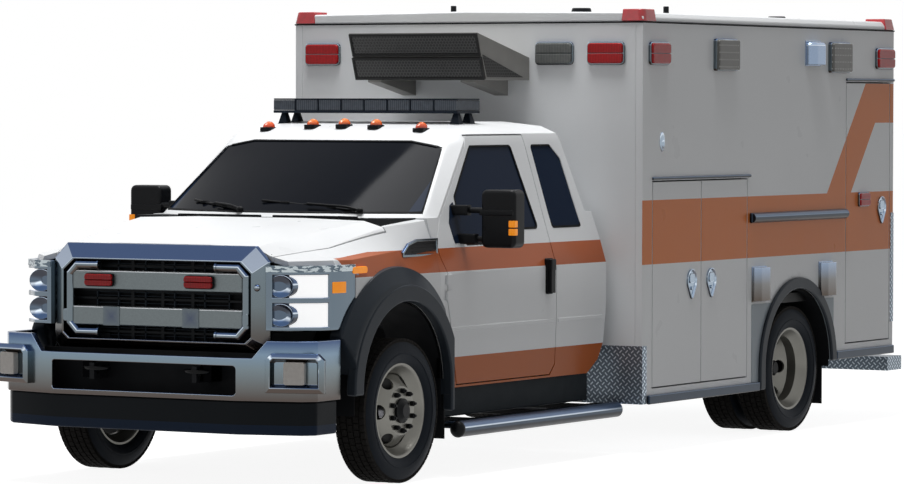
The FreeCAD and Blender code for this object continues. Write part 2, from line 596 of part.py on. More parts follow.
def cab_inside():
    floor = "rail_top + floor_thick"
    dash_half = "belt_half - 135"
    dash = prism("Dash", "YZ", [("cab_front + side_wall", "1080"), ("740", "1080"), ("800", "1240"),
                                ("700", "1430"), ("cab_front + side_wall", "1450")],
                 "-(%s)" % dash_half, dash_half)
    column = cylinder("SteeringColumn", "y", "25", "760", "940", "430", "1290")
    rim = doc.addObject("Part::Torus", "SteeringRim")
    bind(rim, "Radius1", "190")
    bind(rim, "Radius2", "14")
    rim.Placement = FreeCAD.Placement(point(430, 935, 1290), FreeCAD.Rotation(point(1, 0, 0), 90))
    spokes = box("SteeringSpokes", ("250", "610"), ("922", "940"), ("1275", "1305"))
    seat = prism("SeatSide", "YZ", [("1150", floor), ("1640", floor), ("1700", "1240"), ("1830", "1740"),
                                    ("1730", "1760"), ("1590", "1280"), ("1130", "1220")], "180", "680", "30")
    node("cab_interior", fuse("DashSet", dash, column, rim, spokes), seat, mirrored("SeatRight", seat))


# Nose

def nose_volume(inset=0):
    """The hood and fenders as one block, its skin drawn in by the inset."""
    rows = [(S.hood_front, [(300, 1347), (600, 1338), (700, 1292), (812, 1264), (826, 1232)]),
            (-640, [(320, 1380), (640, 1368), (790, 1316), (985, 1268), (1006, 1225)]),
            (S.fender_front,
             [(330, 1408), (680, 1394), (845, 1332), (1004, 1266), (S.cab_half, S.crease_high)]),
            (S.hood_rear, [(360, 1476), (760, 1466), (880, 1432), (976, 1300), (S.cab_half, S.crease_high)]),
            (S.cab_front,
             [(360, 1476), (780, 1475), (925, 1462), (985, S.belt_z), (S.cab_half, S.crease_high)])]
    wires = []
    for y, half in rows:
        half = [(x - inset, z - inset) for x, z in half] + [(half[-1][0] - inset, 560 - 2 * inset)]
        right = [point(x, y, z) for x, z in half]
        left = [point(-x, y, z) for x, z in reversed(half)]
        wires.append(Part.makePolygon(left + right + left[:1]))
    return Part.makeLoft(wires, True, True)


def nose():
    """The hood and the fenders, cut from one skin along the shut lines."""
    floor = Part.makeBox(4000, S.fender_front - S.hood_front, S.lamp_high + 7 - 400,
                         point(-2000, S.hood_front, 400))
    skin = nose_volume().cut([nose_volume(S.fender_wall), floor]).removeSplitter()
    edge = [(S.hood_front - 50, 716), (S.hood_front, 716), (-640, 800), (S.fender_front, 850),
            (S.hood_rear, 895)]

    def plan(gap):
        left = [point(x + gap, y, 0) for y, x in edge] + [point(895 + gap, S.hood_rear + gap, 0)]
        right = [point(-corner.x, corner.y, 0) for corner in reversed(left)]
        return Part.Face(Part.makePolygon(left + right + left[:1])).extrude(point(0, 0, 3000))

    arms = []
    for x in (-560, 500):
        arms.append(Part.makeBox(60, 16, 40, point(x, S.hood_rear - 28, S.hood_hinge_z)))
        arms.append(Part.makeCylinder(8, 60, point(x, S.hood_rear - 20, S.hood_hinge_z), point(1, 0, 0)))
    cover = skin.common(plan(0)).fuse(arms).removeSplitter()
    node("hood", solid("Hood", cover))
    arch = Part.makeCylinder(S.arch_radius, 4000, point(-2000, 0, S.arch_z), point(1, 0, 0))
    legs = Part.makeBox(4000, 2 * S.arch_radius, 600, point(-2000, -S.arch_radius, S.arch_z - 600))
    strip = Part.makeBox(S.fender_wall, S.fender_rear - S.cab_front, S.rail_top - 565,
                         point(S.cab_half - S.fender_wall, S.cab_front, 560))
    other = strip.mirror(point(0, 0, 0), point(1, 0, 0))
    behind = Part.makeBox(2 * S.cowl_half, 2000, 3000, point(-S.cowl_half, S.hood_rear, 0))
    rest = skin.cut(plan(S.hood_gap)).cut([arch.fuse(legs), behind]).fuse([strip, other]).removeSplitter()
    wings = [piece for piece in rest.Solids if piece.Volume > 1e5]
    node("front_fenders", *[solid("Fender%d" % number, piece) for number, piece in enumerate(wings)])


def flares():
    def ring(y, z, radius, inner, low, x_low, x_high, front_low):
        disc = Part.makeCylinder(radius, x_high - x_low, point(x_low, y, z), point(1, 0, 0))
        legs = Part.makeBox(x_high - x_low, 2 * radius, z - low, point(x_low, y - radius, low))
        hole = Part.makeCylinder(inner, 400, point(x_low - 100, y, z), point(1, 0, 0))
        gap = Part.makeBox(400, 2 * inner, z, point(x_low - 100, y - inner, 0))
        trim = Part.makeBox(400, radius, front_low, point(x_low - 100, y - radius - 1, 0))
        below = Part.makeBox(400, 2 * radius, low + 1000, point(x_low - 100, y - radius, -1000))
        return disc.fuse(legs).cut([hole, gap, trim, below]).removeSplitter()
    front = ring(0, S.arch_z, S.flare_radius, S.flare_inner, 380, S.cab_half, S.flare_half, 520)
    tail = Part.makeBox(400, 200, 2000, point(S.cab_half - 100, S.fender_rear, 0))
    front = front.cut(tail)
    rear = ring(S.rear_arch_y, S.rear_arch_z, S.ring_radius, S.rear_arch_radius, S.module_low,
                S.module_half, S.module_half + S.ring_out, S.module_low)
    tail = Part.makeBox(400, 200, 137, point(S.module_half - 100, S.wheelbase + 400, S.module_low))
    rear = rear.cut(tail)
    left, back = solid("FrontFlare", front), solid("RearRing", rear)
    node("wheel_flares", left, mirrored("FrontFlareRight", left), back, mirrored("RearRingRight", back))


def grille():
    frame = prism("GrilleFrame", "XZ", [("-grille_half", "grille_low"), ("grille_half", "grille_low"),
                                        ("grille_half", "grille_top - 85"),
                                        ("grille_half - 95", "grille_top"),
                                        ("-(grille_half - 95)", "grille_top"),
                                        ("-grille_half", "grille_top - 85")],
                  "grille_front", "grille_front + grille_depth")
    hole = prism("GrilleHole", "XZ", [("-grille_inner_half", "grille_inner_low + 60"),
                                      ("-(grille_inner_half - 60)", "grille_inner_low"),
                                      ("grille_inner_half - 60", "grille_inner_low"),
                                      ("grille_inner_half", "grille_inner_low + 60"),
                                      ("grille_inner_half", "grille_inner_top - 60"),
                                      ("grille_inner_half - 60", "grille_inner_top"),
                                      ("-(grille_inner_half - 60)", "grille_inner_top"),
                                      ("-grille_inner_half", "grille_inner_top - 60")],
                 "grille_front - 50", "grille_front + grille_depth + 50")
    bars = [box("GrilleBar%d" % number, ("-grille_inner_half", "grille_inner_half"),
                ("grille_front + 12", "grille_front + 52"),
                (z + " - bar_height / 2", z + " + bar_height / 2"))
            for number, z in enumerate(("bar_z_low", "bar_z_high"))]
    node("grille_surround", fuse("Grille", cut("GrilleRing", frame, hole), *bars))
    behind = ("grille_front + grille_depth", "grille_front + grille_depth + 30")
    slats = [box("Slat%d" % number, ("-(grille_inner_half + 20)", "grille_inner_half + 20"), behind,
                 ("%d" % z, "%d" % (z + 12))) for number, z in enumerate(range(800, 1270, 46))]
    posts = [box("SlatPost%d" % number, ("%d" % (x - 10), "%d" % (x + 10)), behind,
                 ("grille_inner_low - 10", "grille_inner_top + 10"))
             for number, x in enumerate((-610, -200, 0, 200, 610))]
    stays = [box("Stay" + side, x, ("grille_front + grille_depth", "rail_front"),
                 ("rail_top - 100", "rail_top"))
             for side, x in (("Left", ("rail_half - rail_flange", "rail_half - 10")),
                             ("Right", ("-(rail_half - 10)", "-(rail_half - rail_flange)")))]
    node("grille_mesh", fuse("GrilleMesh", *slats, *posts, *stays))


def headlamps():
    outlines = [("grille_half", "-905"), ("grille_half + 130", "-870"), ("cab_half - 55", "-755"),
                ("cab_half - 15", "-620"), ("cab_half - 5", "fender_front"),
                ("cab_half - 120", "fender_front"),
                ("grille_half", "-790")]
    lamp = prism("Headlamp", "XY", outlines, "lamp_low", "lamp_high")
    both_sides("headlamps", lamp)


def bumper():
    plan = [("-bumper_half", "-640"), ("-bumper_half", "-880"), ("-(bumper_half - 60)", "-950"),
            ("-600", "bumper_front"), ("600", "bumper_front"), ("bumper_half - 60", "-950"),
            ("bumper_half", "-880"), ("bumper_half", "-640"), ("bumper_half - bumper_wall", "-640"),
            ("bumper_half - bumper_wall", "-860"), ("bumper_half - 90", "-910"),
            ("600", "bumper_front + bumper_wall"), ("-600", "bumper_front + bumper_wall"),
            ("-(bumper_half - 90)", "-910"), ("-(bumper_half - bumper_wall)", "-860"),
            ("-(bumper_half - bumper_wall)", "-640")]
    beam = prism("BumperBeam", "XY", plan, "bumper_low", "bumper_top")
    drop = prism("BumperDrop", "XZ", [("-700", "bumper_mid_top"), ("700", "bumper_mid_top"),
                                      ("790", "bumper_top + 10"), ("-790", "bumper_top + 10")],
                 "bumper_front - 50", "grille_front + grille_depth")
    slot = prism("BumperSlot", "XZ", [("-slot_half", "slot_low"), ("slot_half", "slot_low"),
                                      ("slot_half", "slot_high"), ("-slot_half", "slot_high")],
                 "bumper_front - 50", "bumper_front + 100", "20")
    irons = [box("BumperIron%s" % side, x, ("bumper_front + bumper_wall", "rail_front"), ("600", "735"))
             for side, x in (("Left", ("hook_x + 15", "rail_half")),
                             ("Right", ("-rail_half", "-(hook_x + 15)")))]
    node("front_bumper", fuse("Bumper", cut("BumperShell", beam, drop, slot), *irons))
    dam = prism("Dam", "XY", [("-(bumper_half - 12)", "-660"), ("-(bumper_half - 12)", "-872"),
                              ("-(bumper_half - 70)", "-935"), ("-600", "bumper_front + 14"),
                              ("600", "bumper_front + 14"), ("bumper_half - 70", "-935"),
                              ("bumper_half - 12", "-872"), ("bumper_half - 12", "-660"),
                              ("bumper_half - 36", "-660"), ("bumper_half - 36", "-862"),
                              ("bumper_half - 85", "-914"), ("600", "bumper_front + 38"),
                              ("-600", "bumper_front + 38"), ("-(bumper_half - 85)", "-914"),
                              ("-(bumper_half - 36)", "-862"), ("-(bumper_half - 36)", "-660")],
                "valance_low", "bumper_low")
    node("front_valance", dam)


def cowl():
    shelf = prism("CowlShelf", "YZ",
                  [("hood_rear + 8", "hood_hinge_z - 30"), ("cab_front", "hood_hinge_z - 30"),
                   ("cab_front", "glass_low"), ("screen_low_y", "glass_low"),
                   ("screen_low_y - 20", "glass_low - 40"), ("hood_rear + 8", "hood_hinge_z - 8.1")],
                  "-cowl_half", "cowl_half")
    rests = [box("HingeRest%d" % number, (str(x), str(x + 60)), ("hood_rear - 30", "hood_rear + 8"),
                 ("hood_hinge_z - 30", "hood_hinge_z - 8.1")) for number, x in enumerate((-560, 500))]
    wipers = [box("WiperArm%d" % number, (str(x), str(x + 560)), ("148", "170"),
                  ("glass_low - 25", "glass_low + 12"))
              for number, x in enumerate((-560, 90))]
    node("cowl_panel", fuse("Cowl", shelf, *rests, *wipers))


def running_boards():
    tube = prism("BoardSection", "XZ",
                 [("cab_half - 60", "250"), ("cab_half + 20", "225"), ("cab_half + 90", "235"),
                  ("cab_half + 90", "300"), ("cab_half + 20", "320"), ("cab_half - 60", "320")],
                 "fender_rear + 30", "module_front - 20")
    brackets = [box("BoardBracket%d" % y, ("rail_half", "cab_half - 60"), (str(y), str(y + 60)),
                    ("270", "310"))
                for y in (900, 1700, 2300)]
    drops = [box("BoardDrop%d" % y, ("rail_half", "rail_half + 12"), (str(y), str(y + 60)), ("270", "700"))
             for y in (900, 1700, 2300)]
    both_sides("running_boards", fuse("Board", tube, *brackets, *drops))


# Lamps

def light_bar(cab_block):
    bar = prism("LightBarBody", "YZ", [("bar_y - light_bar_depth / 2", "light_bar_z"),
                                       ("bar_y + light_bar_depth / 2", "light_bar_z"),
                                       ("bar_y + light_bar_depth / 2", "light_bar_z + light_bar_height"),
                                       ("bar_y - light_bar_depth / 2", "light_bar_z + light_bar_height")],
                "-bar_lamp_half", "bar_lamp_half", "18")
    outer = "bar_lamp_half - bar_post_inset"
    along = ("bar_y - bar_post_depth / 2", "bar_y + bar_post_depth / 2")
    up = ("roof_z - 50", "light_bar_z")
    spans = ((outer + " - bar_post", outer), ("-(%s)" % outer, "-(%s) + bar_post" % outer))
    feet = [cut("BarFoot%d" % number, box("BarPost%d" % number, across, along, up), cab_block)
            for number, across in enumerate(spans)]
    node("light_bar", fuse("LightBar", bar, *feet))


def lamps(cab_block):
    face = "module_half"
    front = "module_front"
    rear = "module_rear"
    red, clear = [], []

    row = ("lamp_row_low", "lamp_row_high")

    def side_lamp(name, y_low, width, taller=0):
        up = ("%s - %d" % (row[0], taller), "%s + %d" % (row[1], taller))
        left = box(name, (face, face + " + lamp_out"), (y_low, "%s + %d" % (y_low, width)), up)
        return [left, mirrored(name + "Right", left)]

    def end_lamp(name, x_low, width, up=row, plane=front):
        y = (plane + " - lamp_out", plane) if plane == front else (plane, plane + " + lamp_out")
        return box(name, (str(x_low), str(x_low + width)), y, up)

    red += side_lamp("SideRedFront", "module_front + 70", 255)
    red += side_lamp("SideRedRear", "module_rear - 305", 275)
    clear += side_lamp("SideClearFront", "module_front + 0.5539 * fore_length", 345, 30)
    clear += side_lamp("SideClearRear", "wheelbase + 405", 345, 30)
    for name, x in (("FrontRedRight", -1162), ("FrontRedLeft", 867)):
        red.append(end_lamp(name, x, 255))
    for name, x in (("FrontClear", 503), ("FrontClearRight", -768)):
        clear.append(end_lamp(name, x, 265))
    for name, x in (("RearRedLeft", 850), ("RearRedRight", -1100)):
        red.append(end_lamp(name, x, 250, row, rear))
    for name, x in (("TailLeft", 850), ("TailRight", -1100)):
        red.append(end_lamp(name, x, 250, ("700", "1150"), rear))
    for name, x in (("RearClearLeft", 480), ("RearClearRight", -745)):
        clear.append(end_lamp(name, x, 265, row, rear))
    for name, x in (("GrilleRedRight", -470), ("GrilleRedLeft", 195)):
        red.append(box(name, (str(x), str(x + 190)), ("grille_front - 16", "grille_front + 12"),
                       ("bar_z_high - 36", "bar_z_high + 36")))
    node("red_lamps", *red)
    node("clear_lamps", *clear)
    amber = [cut("RoofMarker%d" % number, box("MarkerBlock%d" % number, (str(x - 32), str(x + 32)),
                                              ("marker_y - 50", "marker_y + 50"),
                                              ("roof_z - 80", "roof_z + 4")),
                 cab_block) for number, x in enumerate((-530, -220, 0, 220, 530))]
    node("amber_lamps", *amber)


# Patient module

def module_walls():
    arch = cylinder("ModuleArch", "x", "rear_arch_radius", "module_half - wall - 20", "module_half + 20",
                    "rear_arch_y", "rear_arch_z")
    arch_legs = box("ModuleArchLegs", ("module_half - wall - 20", "module_half + 20"),
                    ("rear_arch_y - rear_arch_radius", "rear_arch_y + rear_arch_radius"),
                    ("0", "rear_arch_z"))
    tail = box("ModuleTail", ("module_half - wall - 20", "module_half + 20"),
               ("wheelbase + 300", "module_rear + 20"), ("0", "module_low_rear"))
    slab = box("SideSlab", ("module_half - wall", "module_half"), ("module_front", "module_rear"),
               ("module_low", "roof_low"))

    def hole(name, y_low, y_high, z_low, z_high):
        return box(name, ("module_half - wall - 20", "module_half + 20"), (y_low, y_high), (z_low, z_high))

    left = cut("LeftWall", slab, arch, arch_legs, tail,
               hole("LockerHole", "locker_front", "locker_rear", "locker_low", "locker_top"),
               hole("TallHole", "tall_front", "tall_rear", "tall_low", "tall_top"))
    arch2 = cylinder("ModuleArchR", "x", "rear_arch_radius", "module_half - wall - 20", "module_half + 20",
                     "rear_arch_y", "rear_arch_z")
    plain = cut("RightWallPlain", box("SideSlabR", ("module_half - wall", "module_half"),
                                      ("module_front", "module_rear"), ("module_low", "roof_low")),
                arch2, box("ModuleArchLegsR", ("module_half - wall - 20", "module_half + 20"),
                           ("rear_arch_y - rear_arch_radius", "rear_arch_y + rear_arch_radius"),
                           ("0", "rear_arch_z")),
                box("ModuleTailR", ("module_half - wall - 20", "module_half + 20"),
                    ("wheelbase + 300", "module_rear + 20"), ("0", "module_low_rear")),
                hole("EntryHole", "entry_front", "entry_rear", "entry_low", "entry_top"),
                hole("TallHoleR", "tall_front", "tall_rear", "tall_low", "tall_top"))
    node("module_side_walls", left, mirrored("RightWall", plain))
    inner = "module_half - wall"
    front = cut("FrontWall",
                box("FrontSlab", ("-(%s)" % inner, inner), ("module_front", "module_front + wall"),
                                 ("module_low", "roof_low")),
                box("FrontUnder", ("-760", "760"), ("module_front - 20", "module_front + wall + 20"),
                    ("module_low - 20", "rail_top")))
    back = box("BackWall", ("-(%s)" % inner, inner), ("module_rear - wall", "module_rear"),
               ("module_low_rear", "roof_low"))
    hole_back = box("BackHole", ("-back_door_half", "back_door_half"),
                    ("module_rear - wall - 20", "module_rear + 20"),
                    ("back_door_low", "back_door_top"))
    node("module_end_walls", front, cut("BackFrame", back, hole_back))
    roof = prism("Roof", "XZ", [("-module_half", "roof_low"), ("module_half", "roof_low"),
                                ("module_half + 4", "roof_low + 22"), ("module_half - 20", "roof_low + 58"),
                                ("0", "roof_crown"), ("-(module_half - 20)", "roof_low + 58"),
                                ("-(module_half + 4)", "roof_low + 22")], "module_front", "module_rear")
    hollow = box("RoofHollow", ("-(%s)" % inner, inner), ("module_front + wall", "module_rear - wall"),
                 ("roof_low - 10", "roof_low + 30"))
    node("module_roof", cut("RoofCut", roof, hollow))
    deck = box("Deck", ("-(%s)" % inner, inner), ("module_front + wall", "module_rear - wall"),
               ("rail_top", "deck_z"))
    well = [box("DeckWell" + side, x, ("tall_front - 60", "module_rear - wall"),
                ("rail_top - 10", "deck_z + 10"))
            for side, x in (("Left", ("%s - 6 - locker_depth" % inner, inner)),
                            ("Right", ("-(%s)" % inner, "-(%s - 6 - locker_depth)" % inner)))]
    front_well = box("DeckFrontWell", ("%s - 6 - locker_depth" % inner, inner),
                     ("module_front + wall", "locker_rear + 40"), ("rail_top - 10", "deck_z + 10"))
    step_well = box("StepWell", ("-(%s)" % inner, "-(%s - 426)" % inner),
                    ("entry_front - 40", "entry_rear + 40"), ("rail_top - 10", "deck_z + 10"))
    node("module_floor", cut("DeckCut", deck, *well, front_well, step_well))


def locker_liners():
    """The lined boxes behind the compartment doors, and the step box inside the side door."""
    inner = "module_half - wall - 6"

    def tub(name, sign, y_low, y_high, z_low, z_high, depth):
        def span(first, second):
            return (first, second) if sign > 0 else ("-(%s)" % second, "-(%s)" % first)
        outside = box(name + "Out", span("%s - %s" % (inner, depth), inner), (y_low, y_high), (z_low, z_high))
        inside = box(name + "In", span("%s - %s + liner" % (inner, depth), inner + " + 5"),
                     (y_low + " + liner", y_high + " - liner"), (z_low + " + liner", z_high + " - liner"))
        return cut(name, outside, inside)

    front = tub("FrontTub", 1, "module_front + wall", "locker_rear + 40", "locker_low - 40",
                "locker_top + 40",
                "locker_depth")
    tall = tub("TallTub", 1, "tall_front - 60", "module_rear - wall", "tall_low - 40", "tall_top + 40",
               "locker_depth")
    tall_right = tub("TallTubRight", -1, "tall_front - 60", "module_rear - wall", "tall_low - 40",
                     "tall_top + 40",
                     "locker_depth")
    step = box("StepTub", ("-(module_half - wall)", "-(%s - 420)" % inner),
               ("entry_front - 40", "entry_rear + 40"),
               ("entry_low - 60", "entry_low - 20"))
    step_back = box("StepRiser", ("-(%s - 408)" % inner, "-(%s - 420)" % inner),
                    ("entry_front - 40", "entry_rear + 40"), ("entry_low - 20", "deck_z"))
    step_ends = [box("StepEnd%s" % end, ("-(%s)" % inner, "-(%s - 408)" % inner), y,
                     ("entry_low - 20", "deck_z"))
                 for end, y in (("Front", ("entry_front - 40", "entry_front - 28")),
                                ("Rear", ("entry_rear + 28", "entry_rear + 40")))]
    bench = box("Bench", ("-(module_half - wall)", "-(%s - 560)" % inner),
                ("entry_rear + 120", "tall_front - 60"),
                ("deck_z", "deck_z + 440"))
    node("module_interior", front, tall, tall_right, fuse("StepBox", step, step_back, *step_ends), bench)


def hinge_barrel(name, axis_x, axis_y, low, high, strap):
    """A long hinge barrel with the strap that joins it to its door."""
    barrel = cylinder(name + "_barrel", "z", "hinge_radius", low, high, axis_x, axis_y)
    return [barrel] + [box("%s_strap%d" % (name, number), across, along, (low, high))
                       for number, (across, along) in enumerate(strap)]


def flat_door(label, y_low, y_high, z_low, z_high, sign, hinge_end, handle_y, handle_z, window=None,
              lamp=None):
    """A flat door in the module's side, with its hinge, paddle handle and, where it has one, its pane."""
    def span(first, second):
        return (first, second) if sign > 0 else ("-(%s)" % second, "-(%s)" % first)
    leaf = box(label + "_leaf", span("module_half - wall", "module_half"),
               (y_low + " + door_gap", y_high + " - door_gap"),
               (z_low + " + door_gap", z_high + " - door_gap"))
    handle = box(label + "_handle", span("module_half", "module_half + 18"),
                 ("(%s) - 28" % handle_y, "(%s) + 28" % handle_y),
                 ("%s - 95" % handle_z, "%s + 95" % handle_z))
    if hinge_end == "front":
        axis_y, near, far = y_low + " - 3", y_low + " + door_gap", y_low + " + 30"
        bridge, pad = (axis_y, far), (near, far)
    else:
        axis_y, near, far = y_high + " + 3", y_high + " - door_gap", y_high + " - 30"
        bridge, pad = (far, axis_y), (far, near)
    axis_x = ("%s" if sign > 0 else "-(%s)") % "module_half + hinge_radius + hinge_play"
    strap = [(span("module_half + 3", "module_half + 10"), bridge),
             (span("module_half", "module_half + 10"), pad)]
    hinge = hinge_barrel(label, axis_x, axis_y, z_low + " + 25", z_high + " - 25", strap)
    pieces = []
    if window:
        hole = box(label + "_hole", span("module_half - wall - 20", "module_half + 20"), window[0], window[1])
        leaf = cut(label + "_cut", leaf, hole)
        pieces.append(box(label + "_pane", span("module_half - 14", "module_half - 8"), window[0], window[1]))
    if lamp:
        pieces.append(box(label + "_lamp", span("module_half", "module_half + 25"), lamp[0], lamp[1]))
    node(label, fuse(label + "_door", leaf, handle, *hinge), *pieces)


def module_doors():
    seam = "locker_middle"
    flat_door("left_front_locker_door", "locker_front", seam + " + door_gap / 2", "locker_low",
              "locker_top", 1,
              "front", "locker_middle - 145", "1006")
    flat_door("left_centre_locker_door", seam + " - door_gap / 2", "locker_rear", "locker_low",
              "locker_top", 1,
              "rear", "locker_middle + 130", "1006")
    lamp = (("tall_front + 188", "tall_front + 353"), ("1445", "1540"))
    for side, sign in (("left", 1), ("right", -1)):
        flat_door(side + "_rear_locker_door", "tall_front", "tall_rear", "tall_low", "tall_top", sign,
                  "front",
                  "tall_rear - 142", "1410", lamp=lamp)
    margin = "0.21 * (entry_rear - entry_front)"
    pane = (("entry_front + " + margin, "entry_rear - " + margin), ("entry_top - 678", "entry_top - 228"))
    flat_door("right_entry_door", "entry_front", "entry_rear", "entry_low", "entry_top", -1, "front",
              "entry_rear - 90", "1300", pane)
    for side, sign in (("left", 1), ("right", -1)):
        def span(first, second, sign=sign):
            return (first, second) if sign > 0 else ("-(%s)" % second, "-(%s)" % first)
        leaf = box("back_leaf_" + side, span("door_gap / 2", "back_door_half - door_gap"),
                   ("module_rear - wall", "module_rear"),
                   ("back_door_low + door_gap", "back_door_top - door_gap"))
        window = (span("170", "530"), ("1500", "2050"))
        hole = box("back_hole_" + side, window[0], ("module_rear - wall - 20", "module_rear + 20"), window[1])
        pane = box("back_pane_" + side, window[0], ("module_rear - 14", "module_rear - 8"), window[1])
        handle = box("back_handle_" + side, span("60", "116"), ("module_rear", "module_rear + 18"),
                     ("1250", "1440"))
        strap = [(span("back_door_half - 30", "back_door_half + 3"), ("module_rear + 3", "module_rear + 10")),
                 (span("back_door_half - 30", "back_door_half - door_gap"),
                  ("module_rear", "module_rear + 10"))]
        axis_x = "back_door_half + 3" if sign > 0 else "-(back_door_half + 3)"
        hinge = hinge_barrel("back_" + side, axis_x, "module_rear + hinge_radius + hinge_play",
                             "back_door_low + 25", "back_door_top - 25", strap)
        node("rear_%s_door" % side,
             fuse("back_door_" + side, cut("back_cut_" + side, leaf, hole), handle, *hinge), pane)


def module_trim():
    def rail(name, y_low, y_high, z_low, height, out):
        left = box(name, ("module_half", "module_half + %s" % out), (y_low, y_high),
                   (z_low, "%s + %s" % (z_low, height)))
        return [left, mirrored(name + "Right", left)]
    left_only = box("MidRail", ("module_half", "module_half + 22"), ("locker_rear + 25", "tall_front - 25"),
                    ("1372", "1436"))
    arch = "rear_arch_y"
    rails = rail("RubFront", "module_front + 60", arch + " - ring_radius - 5", "rub_low", "rub_height",
                 "rub_out")
    rails += rail("RubRear", arch + " + ring_radius + 5", "module_rear - 15", "module_low_rear",
                  "rub_height", "rub_out")
    rails += [left_only, mirrored("MidRailRight", left_only)]
    drip = box("DripFront", ("module_half", "module_half + 14"), ("locker_front - 10", "locker_rear + 30"),
               ("locker_top + 5", "locker_top + 23"))
    rails.append(drip)
    rails += rail("DripRear", "tall_front - 10", "module_rear - 5", "tall_top + 5", "18", "14")
    node("rub_rails", *rails)
    corner = box("CornerGuard", ("830", "module_half"), ("module_front - 4", "module_front"),
                 ("module_low", "module_low + 355"))
    wrap = box("CornerWrap", ("module_half", "module_half + 4"), ("module_front - 4", "module_front + 55"),
               ("module_low", "module_low + 355"))
    guard = fuse("Guard", corner, wrap)
    step = box("RearStep", ("-step_half", "step_half"), ("module_rear + 20", "step_rear"),
               ("step_low", "step_high"))
    kick = box("KickPlate", ("-(module_half - wall)", "module_half - wall"),
               ("module_rear", "module_rear + 4"),
               ("module_low_rear", "back_door_low - 10"))
    node("tread_plates", guard, mirrored("GuardRight", guard), kick, step)
    flap = box("RearFlap", ("690", "1185"), ("wheelbase + 470", "wheelbase + 480"), ("150", "690"))
    flap_arm = box("FlapArm", ("rail_half", "1185"), ("wheelbase + 480", "wheelbase + 510"), ("650", "690"))
    fore = box("FrontFlap", ("cab_half - 235", "cab_half - 5"), ("fender_rear - 17", "fender_rear - 7"),
               ("215", "490"))
    fore_arm = box("FrontFlapArm", ("rail_half", "cab_half - 5"), ("fender_rear - 7", "fender_rear + 20"),
                   ("450", "490"))
    fore_drop = box("FrontFlapDrop", ("rail_half", "rail_half + 12"), ("fender_rear - 7", "fender_rear + 20"),
                    ("450", "rail_top - 100"))
    rear_flap = fuse("RearFlapSet", flap, flap_arm)
    front_flap = fuse("FrontFlapSet", fore, fore_arm, fore_drop)
    node("mud_flaps", rear_flap, mirrored("RearFlapRight", rear_flap), front_flap,
         mirrored("FrontFlapRight", front_flap))


def air_conditioner():
    side = [("unit_low_y", "unit_low"), ("module_front", "unit_low"), ("module_front", "unit_wall_z"),
            ("unit_top_y", "unit_top")]
    case = prism("UnitCase", "YZ", side, "-unit_half", "unit_half")
    brackets = []
    for number, x in enumerate((-450, 210)):
        gusset = [("module_front", "unit_low - 95"), ("module_front", "unit_low"),
                  ("unit_low_y + 120", "unit_low"),
                  ("unit_low_y + 120", "unit_low - 14")]
        brackets.append(prism("UnitBracket%d" % number, "YZ", gusset, str(x), str(x + 95)))
    node("air_conditioner", fuse("Unit", case, *brackets))


frame_rails()
tow_hooks()
engine()
fuel_tank()
exhaust()
front_axle()
knuckles()
tie_rod()
rear_axle()
wheels()
cab_block = solid("CabBlock", cab())
left_mirror = mirrors()
node("left_mirror", left_mirror)
node("right_mirror", mirrored("MirrorRight", left_mirror))
cab_inside()
nose()
flares()
grille()
headlamps()
bumper()
cowl()
running_boards()
light_bar(cab_block)
lamps(cab_block)
module_walls()
locker_liners()
module_doors()
module_trim()
air_conditioner()

doc.recompute()
faults = ["%s is %s" % (item.Name, item.State) for item in doc.Objects
          if "Invalid" in item.State or "Error" in item.State]
for item in sub_parts:
    if item.Shape.isNull() or not item.Shape.isValid() or not item.Shape.Solids:
        faults.append("%s has no valid shape" % item.Label)
if faults:
    raise RuntimeError("; ".join(faults))
os.makedirs("parts", exist_ok=True)
for item in sub_parts:
    item.Shape.exportStep("parts/%s.step" % item.Label)
print(len(sub_parts), "sub-parts written")
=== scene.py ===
# %% [markdown]
# # A box-bodied ambulance
# The construction comes packed: every panel, wheel and hinge is already at its real size and place.
# This lesson dresses it. It paints the panels, and models what gives the vehicle its look, such as
# tyre tread, the bright grille, the lamps and the trim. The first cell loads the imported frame.
# %% Load the frame
import math
import bmesh
import bpy
from mathutils import Matrix, Vector


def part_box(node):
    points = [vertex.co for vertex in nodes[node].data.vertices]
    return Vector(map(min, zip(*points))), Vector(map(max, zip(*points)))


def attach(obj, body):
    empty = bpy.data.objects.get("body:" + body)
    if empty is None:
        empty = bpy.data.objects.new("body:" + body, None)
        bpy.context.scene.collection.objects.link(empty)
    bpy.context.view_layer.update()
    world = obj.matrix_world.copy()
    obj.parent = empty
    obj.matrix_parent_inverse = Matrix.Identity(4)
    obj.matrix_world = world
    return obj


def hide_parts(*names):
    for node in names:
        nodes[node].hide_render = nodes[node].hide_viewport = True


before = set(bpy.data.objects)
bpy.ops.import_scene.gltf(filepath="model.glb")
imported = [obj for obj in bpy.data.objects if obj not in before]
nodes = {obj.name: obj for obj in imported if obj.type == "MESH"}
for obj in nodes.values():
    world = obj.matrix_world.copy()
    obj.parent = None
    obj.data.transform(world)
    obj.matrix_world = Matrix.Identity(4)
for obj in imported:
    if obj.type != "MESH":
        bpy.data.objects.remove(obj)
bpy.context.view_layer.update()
print(len(nodes), "panels and parts loaded")

# %% [markdown]
# Places along the vehicle are easiest to give as distances behind the front axle, as on a
# chassis drawing. The axle's own place is read from the wheel, so nothing is typed twice.
# %% Measure from the front axle
wheel_low, wheel_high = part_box("front_left_tyre")
front_axle_y = (wheel_low.y + wheel_high.y) / 2
tyre_radius = (wheel_high.z - wheel_low.z) / 2


def back(distance):
    """The y of a place this far behind the front axle."""
    return front_axle_y + distance


module_half = 1.244
module_front = back(2.520)
module_rear = back(6.190)
print("front axle at", round(front_axle_y, 3), "tyre radius", round(tyre_radius, 3))

